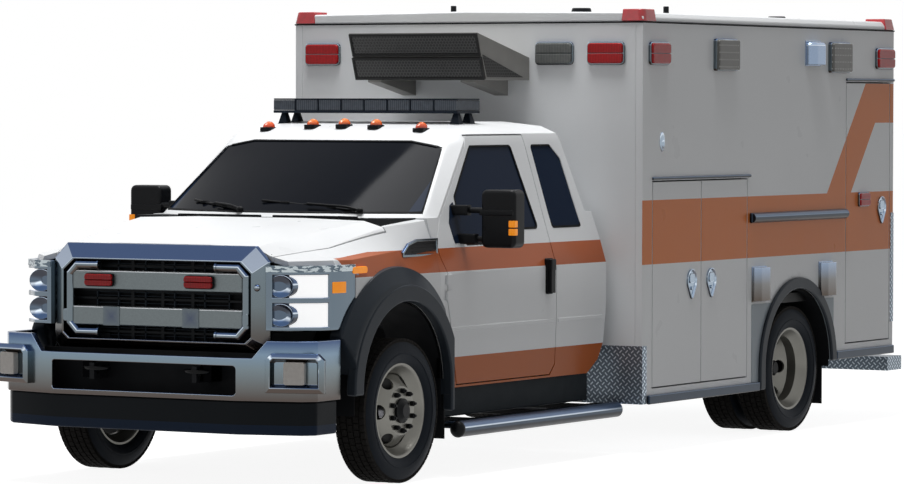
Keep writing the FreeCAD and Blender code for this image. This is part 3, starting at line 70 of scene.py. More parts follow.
# %% [markdown]
# The camera stands well off the front left corner and a little over bonnet height, with a long
# lens. A long lens keeps parallel edges nearly parallel, as in a product picture.
# %% Camera
camera_data = bpy.data.cameras.new("photo_camera")
camera = bpy.data.objects.new("photo_camera", camera_data)
bpy.context.scene.collection.objects.link(camera)
camera.location = (13.6044, -23.8157, 2.1276)
camera.rotation_euler = (math.radians(88.195), math.radians(-0.117), math.radians(30.092))
image_width = 904
focal_pixels = 4389
camera_data.sensor_width = 36
camera_data.lens = camera_data.sensor_width * focal_pixels / image_width
bpy.context.scene.camera = camera
bpy.context.scene.view_settings.view_transform = "Standard"
print("lens", round(camera_data.lens, 1), "mm")

# %% [markdown]
# A studio floor is one large pale sheet. The world is a soft grey light that fills every shadow
# evenly. For what the camera sees directly, and for reflections, it is plain white instead,
# because a white backdrop must not depend on how strongly the object is lit.
# %% Floor and world
bpy.ops.object.select_all(action="DESELECT")
bpy.ops.mesh.primitive_plane_add(size=600, location=(0, 0, -0.002))
floor = bpy.context.object
floor.name = "studio_floor"
floor_paint = bpy.data.materials.new("studio_floor")
floor_paint.use_nodes = True
floor_nodes = floor_paint.node_tree.nodes
floor_links = floor_paint.node_tree.links
floor_shader = floor_nodes["Principled BSDF"]
floor_values = {"Base Color": (0.4, 0.4, 0.4, 1), "Roughness": 0.9, "Specular IOR Level": 0.0,
                "Emission Color": (1, 1, 1, 1)}
for name, value in floor_values.items():
    floor_shader.inputs[name].default_value = value
floor_lift = 0.912
fill_level = 0.22


def seen_rays(shader_nodes, links, kinds, low, high):
    """A strength that is high for the named kinds of ray and low for all others."""
    rays = shader_nodes.new("ShaderNodeLightPath")
    seen = rays.outputs[kinds[0]]
    for kind in kinds[1:]:
        either = shader_nodes.new("ShaderNodeMath")
        either.operation = "MAXIMUM"
        links.new(seen, either.inputs[0])
        links.new(rays.outputs[kind], either.inputs[1])
        seen = either.outputs[0]
    strength = shader_nodes.new("ShaderNodeMapRange")
    strength.inputs["To Min"].default_value = low
    strength.inputs["To Max"].default_value = high
    links.new(seen, strength.inputs["Value"])
    return strength.outputs["Result"]


floor_glow = seen_rays(floor_nodes, floor_links, ("Is Camera Ray", "Is Glossy Ray"), 0.0, floor_lift)
floor_links.new(floor_glow, floor_shader.inputs["Emission Strength"])
floor.data.materials.append(floor_paint)
world = bpy.data.worlds.new("studio")
bpy.context.scene.world = world
world.use_nodes = True
world_nodes = world.node_tree.nodes
world_links = world.node_tree.links
background = world_nodes["Background"]
world_glow = seen_rays(world_nodes, world_links, ("Is Camera Ray", "Is Glossy Ray", "Is Transmission Ray"),
                       fill_level, 1.0)
world_links.new(world_glow, background.inputs["Strength"])
background.inputs["Color"].default_value = (1, 1, 1, 1)
print("world fill", fill_level)

# %% [markdown]
# One broad lamp hangs overhead, so the bonnet and roofs are the brightest faces and
# the sides fall off gently. A large lamp gives soft-edged shadows, like an overcast sky.
# %% Lamps
def soft_lamp(name, place, aim, size, power):
    """An area lamp of a given size that looks at a point."""
    data = bpy.data.lights.new(name, "AREA")
    data.shape = "DISK"
    data.size = size
    data.energy = power
    lamp = bpy.data.objects.new(name, data)
    bpy.context.scene.collection.objects.link(lamp)
    lamp.location = place
    lamp.rotation_euler = (Vector(aim) - Vector(place)).to_track_quat("-Z", "Y").to_euler()
    return lamp


soft_lamp("overhead", (0.0, -0.9, 11), (0.0, -0.9, 1), 6, 1150)
soft_lamp("front_fill", (-4, -13, 6), (0, -1, 1), 6, 45)
print("two lamps placed")

# %% [markdown]
# Shader sums read best as ordinary Python. `Value` wraps one socket and turns + - * / and
# comparisons into Math nodes. `Finish` holds one material: constants go straight onto the
# shader's sockets, and only what changes over a surface is linked.
# %% A small language for shader sums
class Value:
    """A node's output, on which sums are written as Python expressions."""

    def __init__(self, finish, socket):
        self.finish = finish
        self.socket = socket

    def math(self, operation, *others):
        return self.finish.node("ShaderNodeMath", {"operation": operation}, (self,) + others)

    def __add__(self, other):
        return self.math("ADD", other)

    def __sub__(self, other):
        return self.math("SUBTRACT", other)

    def __rsub__(self, other):
        return self.finish.node("ShaderNodeMath", {"operation": "SUBTRACT"}, (other, self))

    def __mul__(self, other):
        return self.math("MULTIPLY", other)

    def __gt__(self, other):
        return self.math("GREATER_THAN", other)

    def __lt__(self, other):
        return self.math("LESS_THAN", other)

    __radd__ = __add__
    __rmul__ = __mul__


class Finish:
    """A material. Constants are set on the shader's sockets, and use() links what varies."""

    def __init__(self, name, **constants):
        self.material = bpy.data.materials.new(name)
        self.material.use_nodes = True
        self.tree = self.material.node_tree
        self.tree.nodes.clear()
        self.shader = self.tree.nodes.new("ShaderNodeBsdfPrincipled")
        output = self.tree.nodes.new("ShaderNodeOutputMaterial")
        self.tree.links.new(self.shader.outputs["BSDF"], output.inputs["Surface"])
        for name, value in constants.items():
            self.shader.inputs[name.replace("_", " ")].default_value = value
        self.place = self.node("ShaderNodeTexCoord", out="Object")

    def node(self, kind, settings=None, inputs=(), out=0):
        made = self.tree.nodes.new(kind)
        for key, value in (settings or {}).items():
            if key == "stops":
                self.set_stops(made.color_ramp, value)
            else:
                setattr(made, key, value)
        pairs = inputs.items() if isinstance(inputs, dict) else enumerate(inputs)
        for key, value in pairs:
            if isinstance(value, Value):
                self.tree.links.new(value.socket, made.inputs[key])
            else:
                made.inputs[key].default_value = value
        return Value(self, made.outputs[out])

    def set_stops(self, ramp, stops):
        while len(ramp.elements) < len(stops):
            ramp.elements.new(1.0)
        for element, (position, colour) in zip(ramp.elements, stops):
            element.position = position
            element.color = colour

    def axes(self, vector=None):
        """The three coordinates of a vector, of the object's place if none is given."""
        parts = self.node("ShaderNodeSeparateXYZ", None, [vector or self.place]).socket.node
        return [Value(self, socket) for socket in parts.outputs]

    def noise(self, scale, detail=2.0, stretch=(1, 1, 1)):
        place = self.node("ShaderNodeMapping", None, {"Vector": self.place, "Scale": stretch})
        return self.node("ShaderNodeTexNoise", None, {"Vector": place, "Scale": scale, "Detail": detail})

    def spread(self, value, low, high):
        """A value from 0 to 1 brought to another range."""
        return self.node("ShaderNodeMapRange", None, {"Value": value, "To Min": low, "To Max": high})

    def mix(self, factor, first, second):
        return self.node("ShaderNodeMix", {"data_type": "RGBA"}, {0: factor, 6: first, 7: second}, 2)

    def bump(self, height, strength, distance):
        return self.node("ShaderNodeBump", None,
                         {"Height": height, "Strength": strength, "Distance": distance})

    def use(self, **links):
        for name, value in links.items():
            self.tree.links.new(value.socket, self.shader.inputs[name.replace("_", " ")])
        return self


def display(red, green, blue):
    """A colour given as it looks on screen, from 0 to 255, as the shader wants it."""
    linear = [(channel / 255) ** 2.2 for channel in (red, green, blue)]
    return (*linear, 1)


def clouded(name, noise, dark, light, rough, **constants):
    """A finish that wavers between two tones, and between two roughnesses, with one noise."""
    finish = Finish(name, **constants)
    cloud = finish.noise(*noise)
    return finish.use(Base_Color=finish.mix(cloud, dark, light), Roughness=finish.spread(cloud, *rough))


def dress(finish, *names):
    """Gives construction nodes a finish."""
    for name in names:
        for place in nodes[name].material_slots:
            place.material = finish.material
    return finish


print("shader helpers ready")

# %% [markdown]
# White coachwork is a thick gloss coat over flat panels. Its colour hardly varies, so the life
# comes from a faint orange-peel ripple in the reflection and slightly uneven gloss.
# The orange bands are film laid on the paint: they follow the sides only, at fixed heights.
# %% White paint and its bands
white = display(236, 238, 240)
orange = display(214, 122, 66)
belt_orange = display(186, 102, 66)
# The sill's darker orange is painted shade, for the shadow that falls low on the cab side.
shaded_sill_orange = display(172, 86, 24)
underseal = display(14, 14, 15)
rear_arch = (back(4.690), 0.430, 0.500)
front_arch = (back(0), 0.540, 0.480)


def gloss_paint(name, mask=None, colour=white, second=orange, arch=None):
    finish = Finish(name, Specular_IOR_Level=0.12, Coat_Weight=0.05, Coat_Roughness=0.12)
    cloud = finish.noise(1.3, 3.0)
    shade = finish.mix(cloud, colour, tuple(0.94 * part for part in colour[:3]) + (1,))
    if mask:
        shade = finish.mix(mask(finish), shade, second(finish) if callable(second) else second)
    if arch:
        shade = finish.mix(in_arch(finish, *arch), shade, underseal)
    ripple = finish.noise(95.0, 1.0)
    finish.use(Base_Color=shade, Roughness=finish.spread(finish.noise(6.0), 0.24, 0.36),
               Normal=finish.bump(ripple, 0.02, 0.0003))
    return finish


def in_arch(finish, middle_y, middle_z, radius, inside):
    """Where a wheel arch's edge and all that lies inside it are sprayed black."""
    x, y, z = finish.axes()
    out, up = y - middle_y, (z - middle_z).math("MAXIMUM", 0.0)
    near = (out * out + up * up) < (radius + 0.003) * (radius + 0.003)
    return near.math("MAXIMUM", x.math("ABSOLUTE") < inside) * (z < middle_z + radius + 0.01)


def module_bands(finish):
    """The long band, and the arm that climbs from it to the rear corner."""
    x, y, z = finish.axes()
    outside = x.math("ABSOLUTE") > module_half - 0.0025
    band = (z > 1.150) * (z < 1.542)
    rise = z - 1.544
    behind = y > rise * 0.826 + back(5.140)
    ahead = y < rise * 0.823 + back(5.514)
    arm = behind * (z > 1.540) * (z < 2.268)
    arm = arm * ahead.math("MAXIMUM", z > 2.005)
    return outside * band.math("MAXIMUM", arm)


def cab_bands(finish):
    """The band along the belt line with its slanted front end, and the one along the sill."""
    x, y, z = finish.axes()
    side = x.math("ABSOLUTE") > 0.962
    slant = y > (1.27 - z) * 0.8 + back(-0.60)
    belt = (z > 1.168) * (z < 1.302) * slant
    sill = (z < 0.676) * (y > back(0.517))
    return side * belt.math("MAXIMUM", sill)


def cab_film(finish):
    """The sill's film is darker than the belt's: painted shade for the shadow low on the cab side."""
    return finish.mix(finish.axes()[2] < 0.70, belt_orange, shaded_sill_orange)


module_paint = gloss_paint("module_paint", module_bands, arch=(*rear_arch, 0.6))
cab_paint = gloss_paint("cab_paint", cab_bands, second=cab_film, arch=(*front_arch, 0.0))
plain_paint = gloss_paint("plain_white_paint")
dress(module_paint, "module_side_walls", "left_front_locker_door", "left_centre_locker_door",
      "left_rear_locker_door", "right_rear_locker_door", "right_entry_door")
dress(plain_paint, "module_end_walls", "module_roof", "rear_left_door", "rear_right_door", "hood")
dress(cab_paint, "cab_shell", "front_fenders", "left_cab_door", "right_cab_door")
print("paint ready")

# %% [markdown]
# Bright plated metal shows the sky in its upward faces and the ground in its downward ones. The
# studio has neither, so the plating's own tint follows the surface's direction: blue-grey above,
# warm grey below. It stays put when the camera moves, because it reads the normal, not the view.
# %% Plated metal
def plated(name, above, level, below, rough=0.16, heights=None,
           glint=(0.66, 0.74, 0.83, 1), dark_behind=None):
    """Tint by slope as painted reflection, with a painted highlight at the glint, and on upright faces by
    height where a list of heights is given.
    """
    finish = Finish(name, Metallic=1.0)
    normal = finish.node("ShaderNodeNewGeometry", out="Normal")
    lean = finish.axes(normal)[2]
    # The glint stop is a painted highlight on faces that lean a little upwards.
    stops = ((0.22, below), (0.42, below), (0.485, level), (0.53, level), (0.56, glint), (0.595, above),
             (0.8, above))
    tint = finish.node("ShaderNodeValToRGB", {"stops": stops}, [lean * 0.25 + 0.5])
    # The tint by height is painted reflection too: ground colours low on an upright face, sky colours high
    # up.
    if heights:
        low, high = heights[0][0], heights[-1][0]
        share = (finish.axes()[2] - low) * (1 / (high - low))
        stops = [((height - low) / (high - low), colour) for height, colour in heights]
        by_height = finish.node("ShaderNodeValToRGB", {"stops": stops}, [share])
        tint = finish.mix(lean.math("ABSOLUTE") > 0.16, by_height, tint)
    if dark_behind:
        x, y, z = finish.axes()
        tint = finish.mix((y > dark_behind) * (x.math("ABSOLUTE") < 0.5), tint, display(12, 12, 13))
    smear = finish.noise(9.0, 3.0)
    finish.use(Base_Color=tint, Roughness=finish.spread(smear, rough, rough + 0.12))
    return finish


sky_blue, steel_grey, ground_brown = display(70, 88, 120), display(106, 116, 122), display(78, 70, 66)
chrome = plated("bright_plating", sky_blue, steel_grey, ground_brown)
# The ring's and the bumper's lists of heights are painted reflection: warm grey low down, blue-grey high up.
ring_chrome = plated("grille_ring_plating", display(70, 86, 118), steel_grey, ground_brown, 0.16,
                     ((0.75, display(76, 68, 64)), (0.86, display(88, 86, 84)),
                      (1.02, display(104, 114, 118)), (1.24, display(108, 120, 128)),
                      (1.34, display(80, 96, 126))))
bumper_chrome = plated("bumper_plating", sky_blue, steel_grey, ground_brown, 0.16,
                       ((0.505, display(80, 72, 68)), (0.58, display(98, 100, 100)),
                        (0.68, display(112, 124, 130)), (0.76, display(116, 136, 154)),
                        (0.83, display(66, 84, 118))),
                       dark_behind=back(-1.015))
lamp_chrome = plated("lamp_reflector", display(96, 118, 152), display(104, 116, 126), display(84, 82, 82),
                     0.08)
bowl_chrome = plated("lamp_bowl_plating", display(70, 90, 122), display(86, 98, 112), display(62, 64, 70),
                     0.1)
dark_chrome = plated("rail_plating", display(70, 84, 104), display(44, 52, 62), display(24, 25, 28), 0.24,
                     glint=display(104, 118, 134))
dress(chrome, "front_bumper", "grille_surround")
print("plating ready")

# %% [markdown]
# Moulded trim is never quite one colour: it is grained, and its gloss wanders. The same recipe
# serves black plastic, rubber, cast iron and fabric, with its own grain size and gloss range.
# %% Grained trim
def grained(name, colour, rough=(0.4, 0.6), grain=220.0, depth=0.0008, strength=0.25, arch=None,
            **constants):
    finish = Finish(name, Specular_IOR_Level=0.1, **constants)
    shade = finish.mix(finish.noise(7.0, 4.0), colour, tuple(1.35 * part for part in colour[:3]) + (1,))
    if arch:
        shade = finish.mix(in_arch(finish, *arch), shade, underseal)
    finish.use(Base_Color=shade, Roughness=finish.spread(finish.noise(11.0), *rough),
               Normal=finish.bump(finish.noise(grain, 3.0), strength, depth))
    return finish


black_trim = grained("black_trim", display(24, 26, 28))
satin_trim = grained("dark_satin_trim", display(46, 51, 57), (0.3, 0.42), 320.0, 0.0004)
rubber = grained("black_rubber", display(20, 21, 23), (0.6, 0.8), 150.0)
frame_paint = grained("chassis_paint", display(24, 25, 27), (0.5, 0.7), 60.0)
cast_iron = grained("cast_iron", display(58, 58, 60), (0.6, 0.8), 90.0, 0.002, Metallic=0.6)
bare_steel = grained("bare_steel", display(120, 120, 124), (0.3, 0.5), 140.0, Metallic=0.9)
exhaust_steel = grained("exhaust_steel", display(105, 96, 88), (0.4, 0.6), 40.0, Metallic=0.9)
cloth = grained("cab_cloth", display(62, 63, 66), (0.8, 0.95), 700.0, 0.001)
sheet_metal = grained("locker_lining", display(168, 170, 174), (0.35, 0.5), 30.0, 0.0004,
                      arch=(*rear_arch, 0.0), Metallic=0.8)
unit_paint = grained("unit_paint", display(134, 133, 130), (0.4, 0.55), 260.0, 0.0004)
dress(black_trim, "front_valance", "cowl_panel", "grille_mesh")
dress(satin_trim, "wheel_flares", "left_mirror", "right_mirror")
dress(frame_paint, "frame_rails", "tow_hooks", "front_axle", "rear_axle", "fuel_tank")
dress(cast_iron, "engine_block")
dress(bare_steel, "left_knuckle", "right_knuckle", "tie_rod")
dress(exhaust_steel, "exhaust")
dress(cloth, "cab_interior")
dress(sheet_metal, "module_floor", "module_interior")
dress(rubber, "mud_flaps")
dress(unit_paint, "air_conditioner")
dress(dark_chrome, "running_boards", "rub_rails")
print("trim finishes ready")

# %% [markdown]
# Tinted glass on a working vehicle reads as a dark, glossy surface with a navy cast. A gentle change of tone
# across each pane, and a bluer tone on the side panes, is enough to keep it from looking like paint.
# %% Glass
glass = Finish("tinted_glass", Specular_IOR_Level=0.02)
tone = glass.noise(0.7, 1.0)
beside = glass.axes()[0].math("ABSOLUTE") > 0.80
front_tone = glass.mix(tone, display(20, 22, 28), display(28, 31, 37))
glass.use(Base_Color=glass.mix(beside, front_tone, display(36, 46, 64)),
          Roughness=glass.spread(glass.noise(3.0), 0.05, 0.12))
dress(glass, "cab_glass", "left_door_glass", "right_door_glass")
print("glass ready")

# %% [markdown]
# Tread plate carries short raised bars that lean left and right in turn. The pattern is worked
# out on a slanted grid: each cell holds one bar, and the cell's parity says which way it leans.
# %% Tread plate
def tread_plate(name, cell):
    """Raised bars on upright faces; a cell is as long as the side of one slanted square."""
    finish = Finish(name, Metallic=0.9)
    x, y, z = finish.axes()
    first = (x + y + z) * (1 / cell)
    second = (x + y - z) * (1 / cell)
    parity = (first.math("FLOOR") + second.math("FLOOR")).math("PINGPONG", 1.0)
    along = (first.math("FRACT") - 0.5).math("ABSOLUTE")
    over = (second.math("FRACT") - 0.5).math("ABSOLUTE")
    leaning = (along < 0.40) * (over < 0.13)
    other = (over < 0.40) * (along < 0.13)
    bars = parity * leaning + (1 - parity) * other
    # The raised bars are painted much lighter than the plate between them: a painted highlight on the bars.
    shade = finish.mix(bars, display(98, 108, 118), display(196, 208, 218))
    finish.use(Base_Color=shade, Roughness=finish.spread(finish.noise(14.0, 3.0), 0.28, 0.5),
               Normal=finish.bump(bars, 0.7, 0.002))
    return finish


wall_plate = tread_plate("tread_plate_wall", 0.040)
dress(wall_plate, "tread_plates")
print("tread plate ready")

# %% [markdown]
# Every new piece is shaped the same way: a primitive at its size and place, faces picked by
# where they are or point, and edit-mode operators on what is picked. These helpers are the hands.
# %% Modelling helpers
MIRROR = Matrix.Scale(-1, 4, (1, 0, 0))
SIDES = (("left", Matrix()), ("right", MIRROR))
SIGNS = (("left", 1), ("right", -1))


def clear_selection():
    if bpy.context.mode != "OBJECT":
        done()
    bpy.ops.object.select_all(action="DESELECT")


def done():
    """Leaves edit mode."""
    bpy.ops.object.mode_set(mode="OBJECT")


def work_on(piece):
    """Makes this the one selected piece."""
    clear_selection()
    piece.select_set(True)
    bpy.context.view_layer.objects.active = piece


def open_all(kind=None):
    """Opens the active piece in edit mode with all of it selected."""
    bpy.ops.object.mode_set(mode="EDIT")
    if kind:
        bpy.ops.mesh.select_mode(type=kind)
    bpy.ops.mesh.select_all(action="SELECT")


def close_whole(doubles=True):
    """Merges doubles, turns all faces outwards and leaves edit mode."""
    bpy.ops.mesh.select_all(action="SELECT")
    if doubles:
        bpy.ops.mesh.remove_doubles(threshold=1e-5)
    bpy.ops.mesh.normals_make_consistent(inside=False)
    done()


def smooth(angle):
    """Smooths what is selected, but for edges sharper than an angle."""
    bpy.ops.object.shade_smooth_by_angle(angle=math.radians(angle))


def settle(name):
    """Names the new primitive and moves its place into its mesh."""
    piece = bpy.context.active_object
    piece.name = piece.data.name = name
    bpy.ops.object.transform_apply(location=True, rotation=True, scale=True)
    return piece


def block(name, low, high):
    """A block between two corners."""
    clear_selection()
    low, high = Vector(low), Vector(high)
    bpy.ops.mesh.primitive_cube_add(size=1, location=(low + high) / 2)
    bpy.context.active_object.scale = high - low
    return settle(name)


def rod(name, start, end, radius, sides=20):
    """A round bar between two points."""
    clear_selection()
    start, end = Vector(start), Vector(end)
    turn = (end - start).to_track_quat("Z", "Y").to_euler()
    bpy.ops.mesh.primitive_cylinder_add(vertices=sides, radius=radius, depth=(end - start).length,
                                        location=(start + end) / 2, rotation=turn)
    return settle(name)


def ball(name, centre, radii, segments=20, rings=12):
    """A round boss with its own three half-sizes."""
    clear_selection()
    bpy.ops.mesh.primitive_uv_sphere_add(segments=segments, ring_count=rings, radius=1, location=centre)
    bpy.context.active_object.scale = radii
    piece = settle(name)
    bpy.ops.object.shade_smooth()
    return piece


def pick(piece, test, kind="FACE"):
    """Opens the piece in edit mode with the faces or edges selected that pass a test."""
    work_on(piece)
    bpy.ops.object.mode_set(mode="EDIT")
    bpy.ops.mesh.select_mode(type=kind)
    bpy.ops.mesh.select_all(action="DESELECT")
    mesh = bmesh.from_edit_mesh(piece.data)
    mesh.normal_update()
    for item in (mesh.faces if kind == "FACE" else mesh.edges):
        middle = sum((corner.co for corner in item.verts), Vector()) / len(item.verts)
        if kind == "FACE":
            aim = item.normal
        else:
            aim = (item.verts[1].co - item.verts[0].co).normalized()
        item.select_set(bool(test(middle, aim)))
    bmesh.update_edit_mesh(piece.data)


def everything(middle, aim):
    return True


def along(axis):
    """A test for edges that run along an axis, or faces that look along it either way."""
    return lambda middle, aim: abs(aim[axis]) > 0.9


def facing(axis, sign=1):
    """A test for faces that look one way along an axis."""
    return lambda middle, aim: aim[axis] * sign > 0.9


along_x, along_y, along_z = along(0), along(1), along(2)
facing_out, facing_back, facing_up, facing_front = facing(0), facing(1), facing(2), facing(1, -1)


def inset(piece, test, *steps, cut=False):
    """Insets the picked faces by each step's thickness and depth. With cut, what is left of them goes."""
    pick(piece, test)
    for thickness, depth in steps:
        bpy.ops.mesh.inset(thickness=thickness, depth=depth)
    if cut:
        bpy.ops.mesh.delete(type="FACE")
    done()


def opened(piece, test):
    """Deletes the faces that pass a test."""
    pick(piece, test)
    bpy.ops.mesh.delete(type="FACE")
    done()
    return piece


def stretch(piece, test, value, centre):
    """Resizes what is picked about a centre."""
    pick(piece, test)
    bpy.ops.transform.resize(value=value, center_override=centre)
    done()


def raised(piece, test, border, step):
    """Insets the picked faces and moves them by a step."""
    pick(piece, test)
    bpy.ops.mesh.inset(thickness=border, depth=0.0)
    bpy.ops.transform.translate(value=step)
    done()


def edged(piece, test, width, segments):
    """Bevels the picked edges only."""
    pick(piece, test, "EDGE")
    bpy.ops.mesh.bevel(offset=width, segments=segments, affect="EDGES")
    done()
    return piece


def modified(piece, kind, **settings):
    """Gives a piece one modifier and applies it."""
    work_on(piece)
    change = piece.modifiers.new(kind.title(), kind)
    for key, value in settings.items():
        setattr(change, key, value)
    bpy.ops.object.modifier_apply(modifier=change.name)
    return piece


def rounded(piece, width, segments=2, angle=35):
    """Bevels the piece's sharp edges and smooths what is left."""
    modified(piece, "BEVEL", width=width, segments=segments, limit_method="ANGLE",
             angle_limit=math.radians(angle))
    smooth(38)
    return piece


def copied(piece, name, matrix):
    """A copy with a mesh of its own, moved by a matrix."""
    twin = piece.copy()
    twin.data = piece.data.copy()
    twin.name = twin.data.name = name
    bpy.context.scene.collection.objects.link(twin)
    twin.data.transform(matrix)
    if matrix.determinant() < 0:
        twin.data.flip_normals()
    return twin


def joined(name, pieces):
    """Several pieces made one."""
    clear_selection()
    for piece in pieces:
        piece.select_set(True)
    bpy.context.view_layer.objects.active = pieces[0]
    if len(pieces) > 1:
        bpy.ops.object.join()
    pieces[0].name = pieces[0].data.name = name
    return pieces[0]


def discard(*pieces):
    """Deletes pieces that were only tools or models for copies."""
    clear_selection()
    for piece in pieces:
        piece.select_set(True)
    bpy.ops.object.delete()


def fit(piece, body, slot, finish, *replaced):
    """Paints a finished piece, evens its shading over broad flat faces and fixes it to a body."""
    modified(piece, "WEIGHTED_NORMAL", keep_sharp=True)
    piece.data.materials.clear()
    piece.data.materials.append(finish.material)
    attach(piece, body)
    if replaced:
        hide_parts(*replaced)
    return piece


def both(model, name, body, slot, finish):
    """Fixes a copy of a left-hand model on each side. A pair of braces stands for the side's name."""
    for side, matrix in SIDES:
        fit(copied(model, name.format(side), matrix), body.format(side), slot, finish)
    discard(model)


def turned(name, centre, profile, sides=64):
    """A piece turned about an axis across the vehicle: a ring, extruded and resized step by step."""
    clear_selection()
    centre = Vector(centre)
    offset, radius = profile[0]
    bpy.ops.mesh.primitive_circle_add(vertices=sides, radius=radius, rotation=(0, math.pi / 2, 0),
                                      location=centre + Vector((offset, 0, 0)))
    piece = settle(name)
    open_all("EDGE")
    for (offset, radius), (step_offset, step_radius) in zip(profile, profile[1:]):
        bpy.ops.mesh.extrude_region()
        share = step_radius / radius
        bpy.ops.transform.resize(value=(1, share, share), center_override=centre)
        bpy.ops.transform.translate(value=(step_offset - offset, 0, 0))
    close_whole()
    smooth(32)
    return piece


def merged(node, name):
    """A copy of a construction node with its doubles merged and its flat faces made whole."""
    piece = nodes[node].copy()
    piece.data = nodes[node].data.copy()
    piece.name = piece.data.name = name
    bpy.context.scene.collection.objects.link(piece)
    for key in list(piece.keys()):
        del piece[key]
    piece.parent = None
    pick(piece, everything)
    bpy.ops.mesh.remove_doubles(threshold=1e-5)
    bpy.ops.mesh.customdata_custom_splitnormals_clear()
    bpy.ops.mesh.dissolve_limited(angle_limit=math.radians(1.0))
    done()
    return piece


def softened(node, name, width, segments=2, angle=35):
    """A copy of a construction node with rounded edges."""
    return rounded(merged(node, name), width, segments, angle)


print("helpers ready")

# %% [markdown]
# A tyre is a bead, a bulging sidewall and a nearly flat tread. It is made as a ring that is
# extruded and resized along that section. The tread's blocks are real: one sector of five ribs is
# modelled, and then copied round the tyre, so the edge of the tyre is notched as it should be.
# %% One tyre, with its tread
tread_depth = 0.008
block_half = 0.0175
pitches = 64
round_sides = 96


def tyre_carcass(name):
    half = [(-0.076, 0.255), (-0.088, 0.268), (-0.104, 0.290), (-0.112, 0.322), (-0.112, 0.340),
            (-0.107, 0.362), (-0.099, 0.381), (-0.090, tyre_radius - tread_depth - 0.002)]
    section = half + [(-offset, radius) for offset, radius in reversed(half)]
    return turned(name, (0, 0, 0), section + [section[0]], round_sides)


def tread_sector():
    """One pitch of the tread: five blocks."""
    ribs = []
    low, high = tyre_radius - tread_depth - 0.004, tyre_radius
    for middle, half, shift in ((-0.080, 0.0145, 0.0), (-0.040, 0.0155, 0.012), (0.0, 0.0155, 0.0),
                                (0.040, 0.0155, 0.012), (0.080, 0.0145, 0.0)):
        rib = block("rib", (middle - half, shift - block_half, low),
                    (middle + half, shift + block_half, high))
        inset(rib, facing_up, (0.003, 0.0))
        ribs.append(rib)
    return joined("tread_sector", ribs)


carcass = tyre_carcass("tyre_carcass")
sector = tread_sector()
sectors = [copied(sector, "sector", Matrix.Rotation(2 * math.pi * number / pitches, 4, "X"))
           for number in range(1, pitches)]
tread = joined("tread_ring", [sector] + sectors)
rib_inner, rib_outer = 0.1115, 0.1145
side_ribs = []
for sign in (-1, 1):
    rib_section = [(sign * rib_inner, 0.316), (sign * rib_outer, 0.318), (sign * rib_outer, 0.324),
                   (sign * rib_inner, 0.326)]
    side_ribs.append(turned("sidewall_rib", (0, 0, 0), rib_section, round_sides))
tyre_model = joined("tyre_model", [carcass, tread] + side_ribs)
print("tyre has", len(tyre_model.data.polygons), "faces")

# %% [markdown]
# Tread rubber is matt and slightly dusty at the crown and shinier on the sidewall. The finish
# tells them apart by the distance from the axle, so one rubber serves all six tyres.
# %% Tyre rubber
def tyre_rubber(name, axle_y):
    finish = Finish(name, Specular_IOR_Level=0.06)
    x, y, z = finish.axes()
    out, up = y - axle_y, z - tyre_radius
    radius = (out * out + up * up).math("SQRT")
    crown = radius > tyre_radius - 0.020
    speckle = finish.noise(260.0, 4.0)
    wall = finish.mix(finish.noise(5.0, 3.0), display(27, 30, 35), display(38, 43, 50))
    worn = finish.mix(speckle, display(24, 24, 25), display(62, 60, 58))
    finish.use(Base_Color=finish.mix(crown, wall, worn),
               Roughness=finish.spread(crown, 0.52, 0.85),
               Normal=finish.bump(speckle, 0.35, 0.002))
    return finish


front_rubber = tyre_rubber("front_tyre_rubber", front_axle_y)
rear_axle_y = back(4.720)
front_wheel_x, outer_twin_x, inner_twin_x = 0.945, 1.090, 0.820
rear_rubber = tyre_rubber("rear_tyre_rubber", rear_axle_y)
for side, sign in SIGNS:
    front_place = Matrix.Translation((sign * front_wheel_x, front_axle_y, tyre_radius))
    fit(copied(tyre_model, "front_%s_tyre_tread" % side, front_place), "front_%s_wheel" % side, "tyre",
        front_rubber, "front_%s_tyre" % side)
    twins = [copied(tyre_model, "twin", Matrix.Translation((sign * x, rear_axle_y, tyre_radius)))
             for x in (outer_twin_x, inner_twin_x)]
    fit(joined("rear_%s_tyre_treads" % side, twins), "rear_%s_wheel" % side, "tyre", rear_rubber,
        "rear_%s_tyre" % side)
discard(tyre_model)
print("six tyres fitted")

# %% [markdown]
# A steel truck wheel is a deep rim welded to a dished disc. The section is closed, so it is a
# solid, and the hand holes are cut with a Boolean. The front disc bulges outwards and the outer rear
# one sinks inwards, as on the real pair. A dark brake drum stands behind the front disc, so that
# nothing is seen through its hand holes.
# %% Wheels
rim_radius = 0.255
rim_half = 0.088
wheel_sides = 72
hand_holes, hole_circle, hole_size = 6, 0.177, 0.030
lugs, lug_circle = 10, 0.112


def rim(name):
    """The section's outer side is given from the rim's edge to its well, and its inner side likewise."""
    outer = [(0.0, 0.0), (0.0, 0.012), (0.008, 0.012), (0.014, -0.004), (0.050, -0.010), (0.062, -0.030)]
    inner = [(0.006, -0.008), (0.030, -0.018), (0.058, -0.044)]
    section = [(-rim_half + step, rim_radius + rise) for step, rise in outer]
    section += [(rim_half - step, rim_radius + rise) for step, rise in reversed(outer)]
    section += [(rim_half - step, rim_radius + rise) for step, rise in inner]
    section += [(-rim_half + step, rim_radius + rise) for step, rise in reversed(inner)]
    return turned(name, (0, 0, 0), section + [section[0]], wheel_sides)


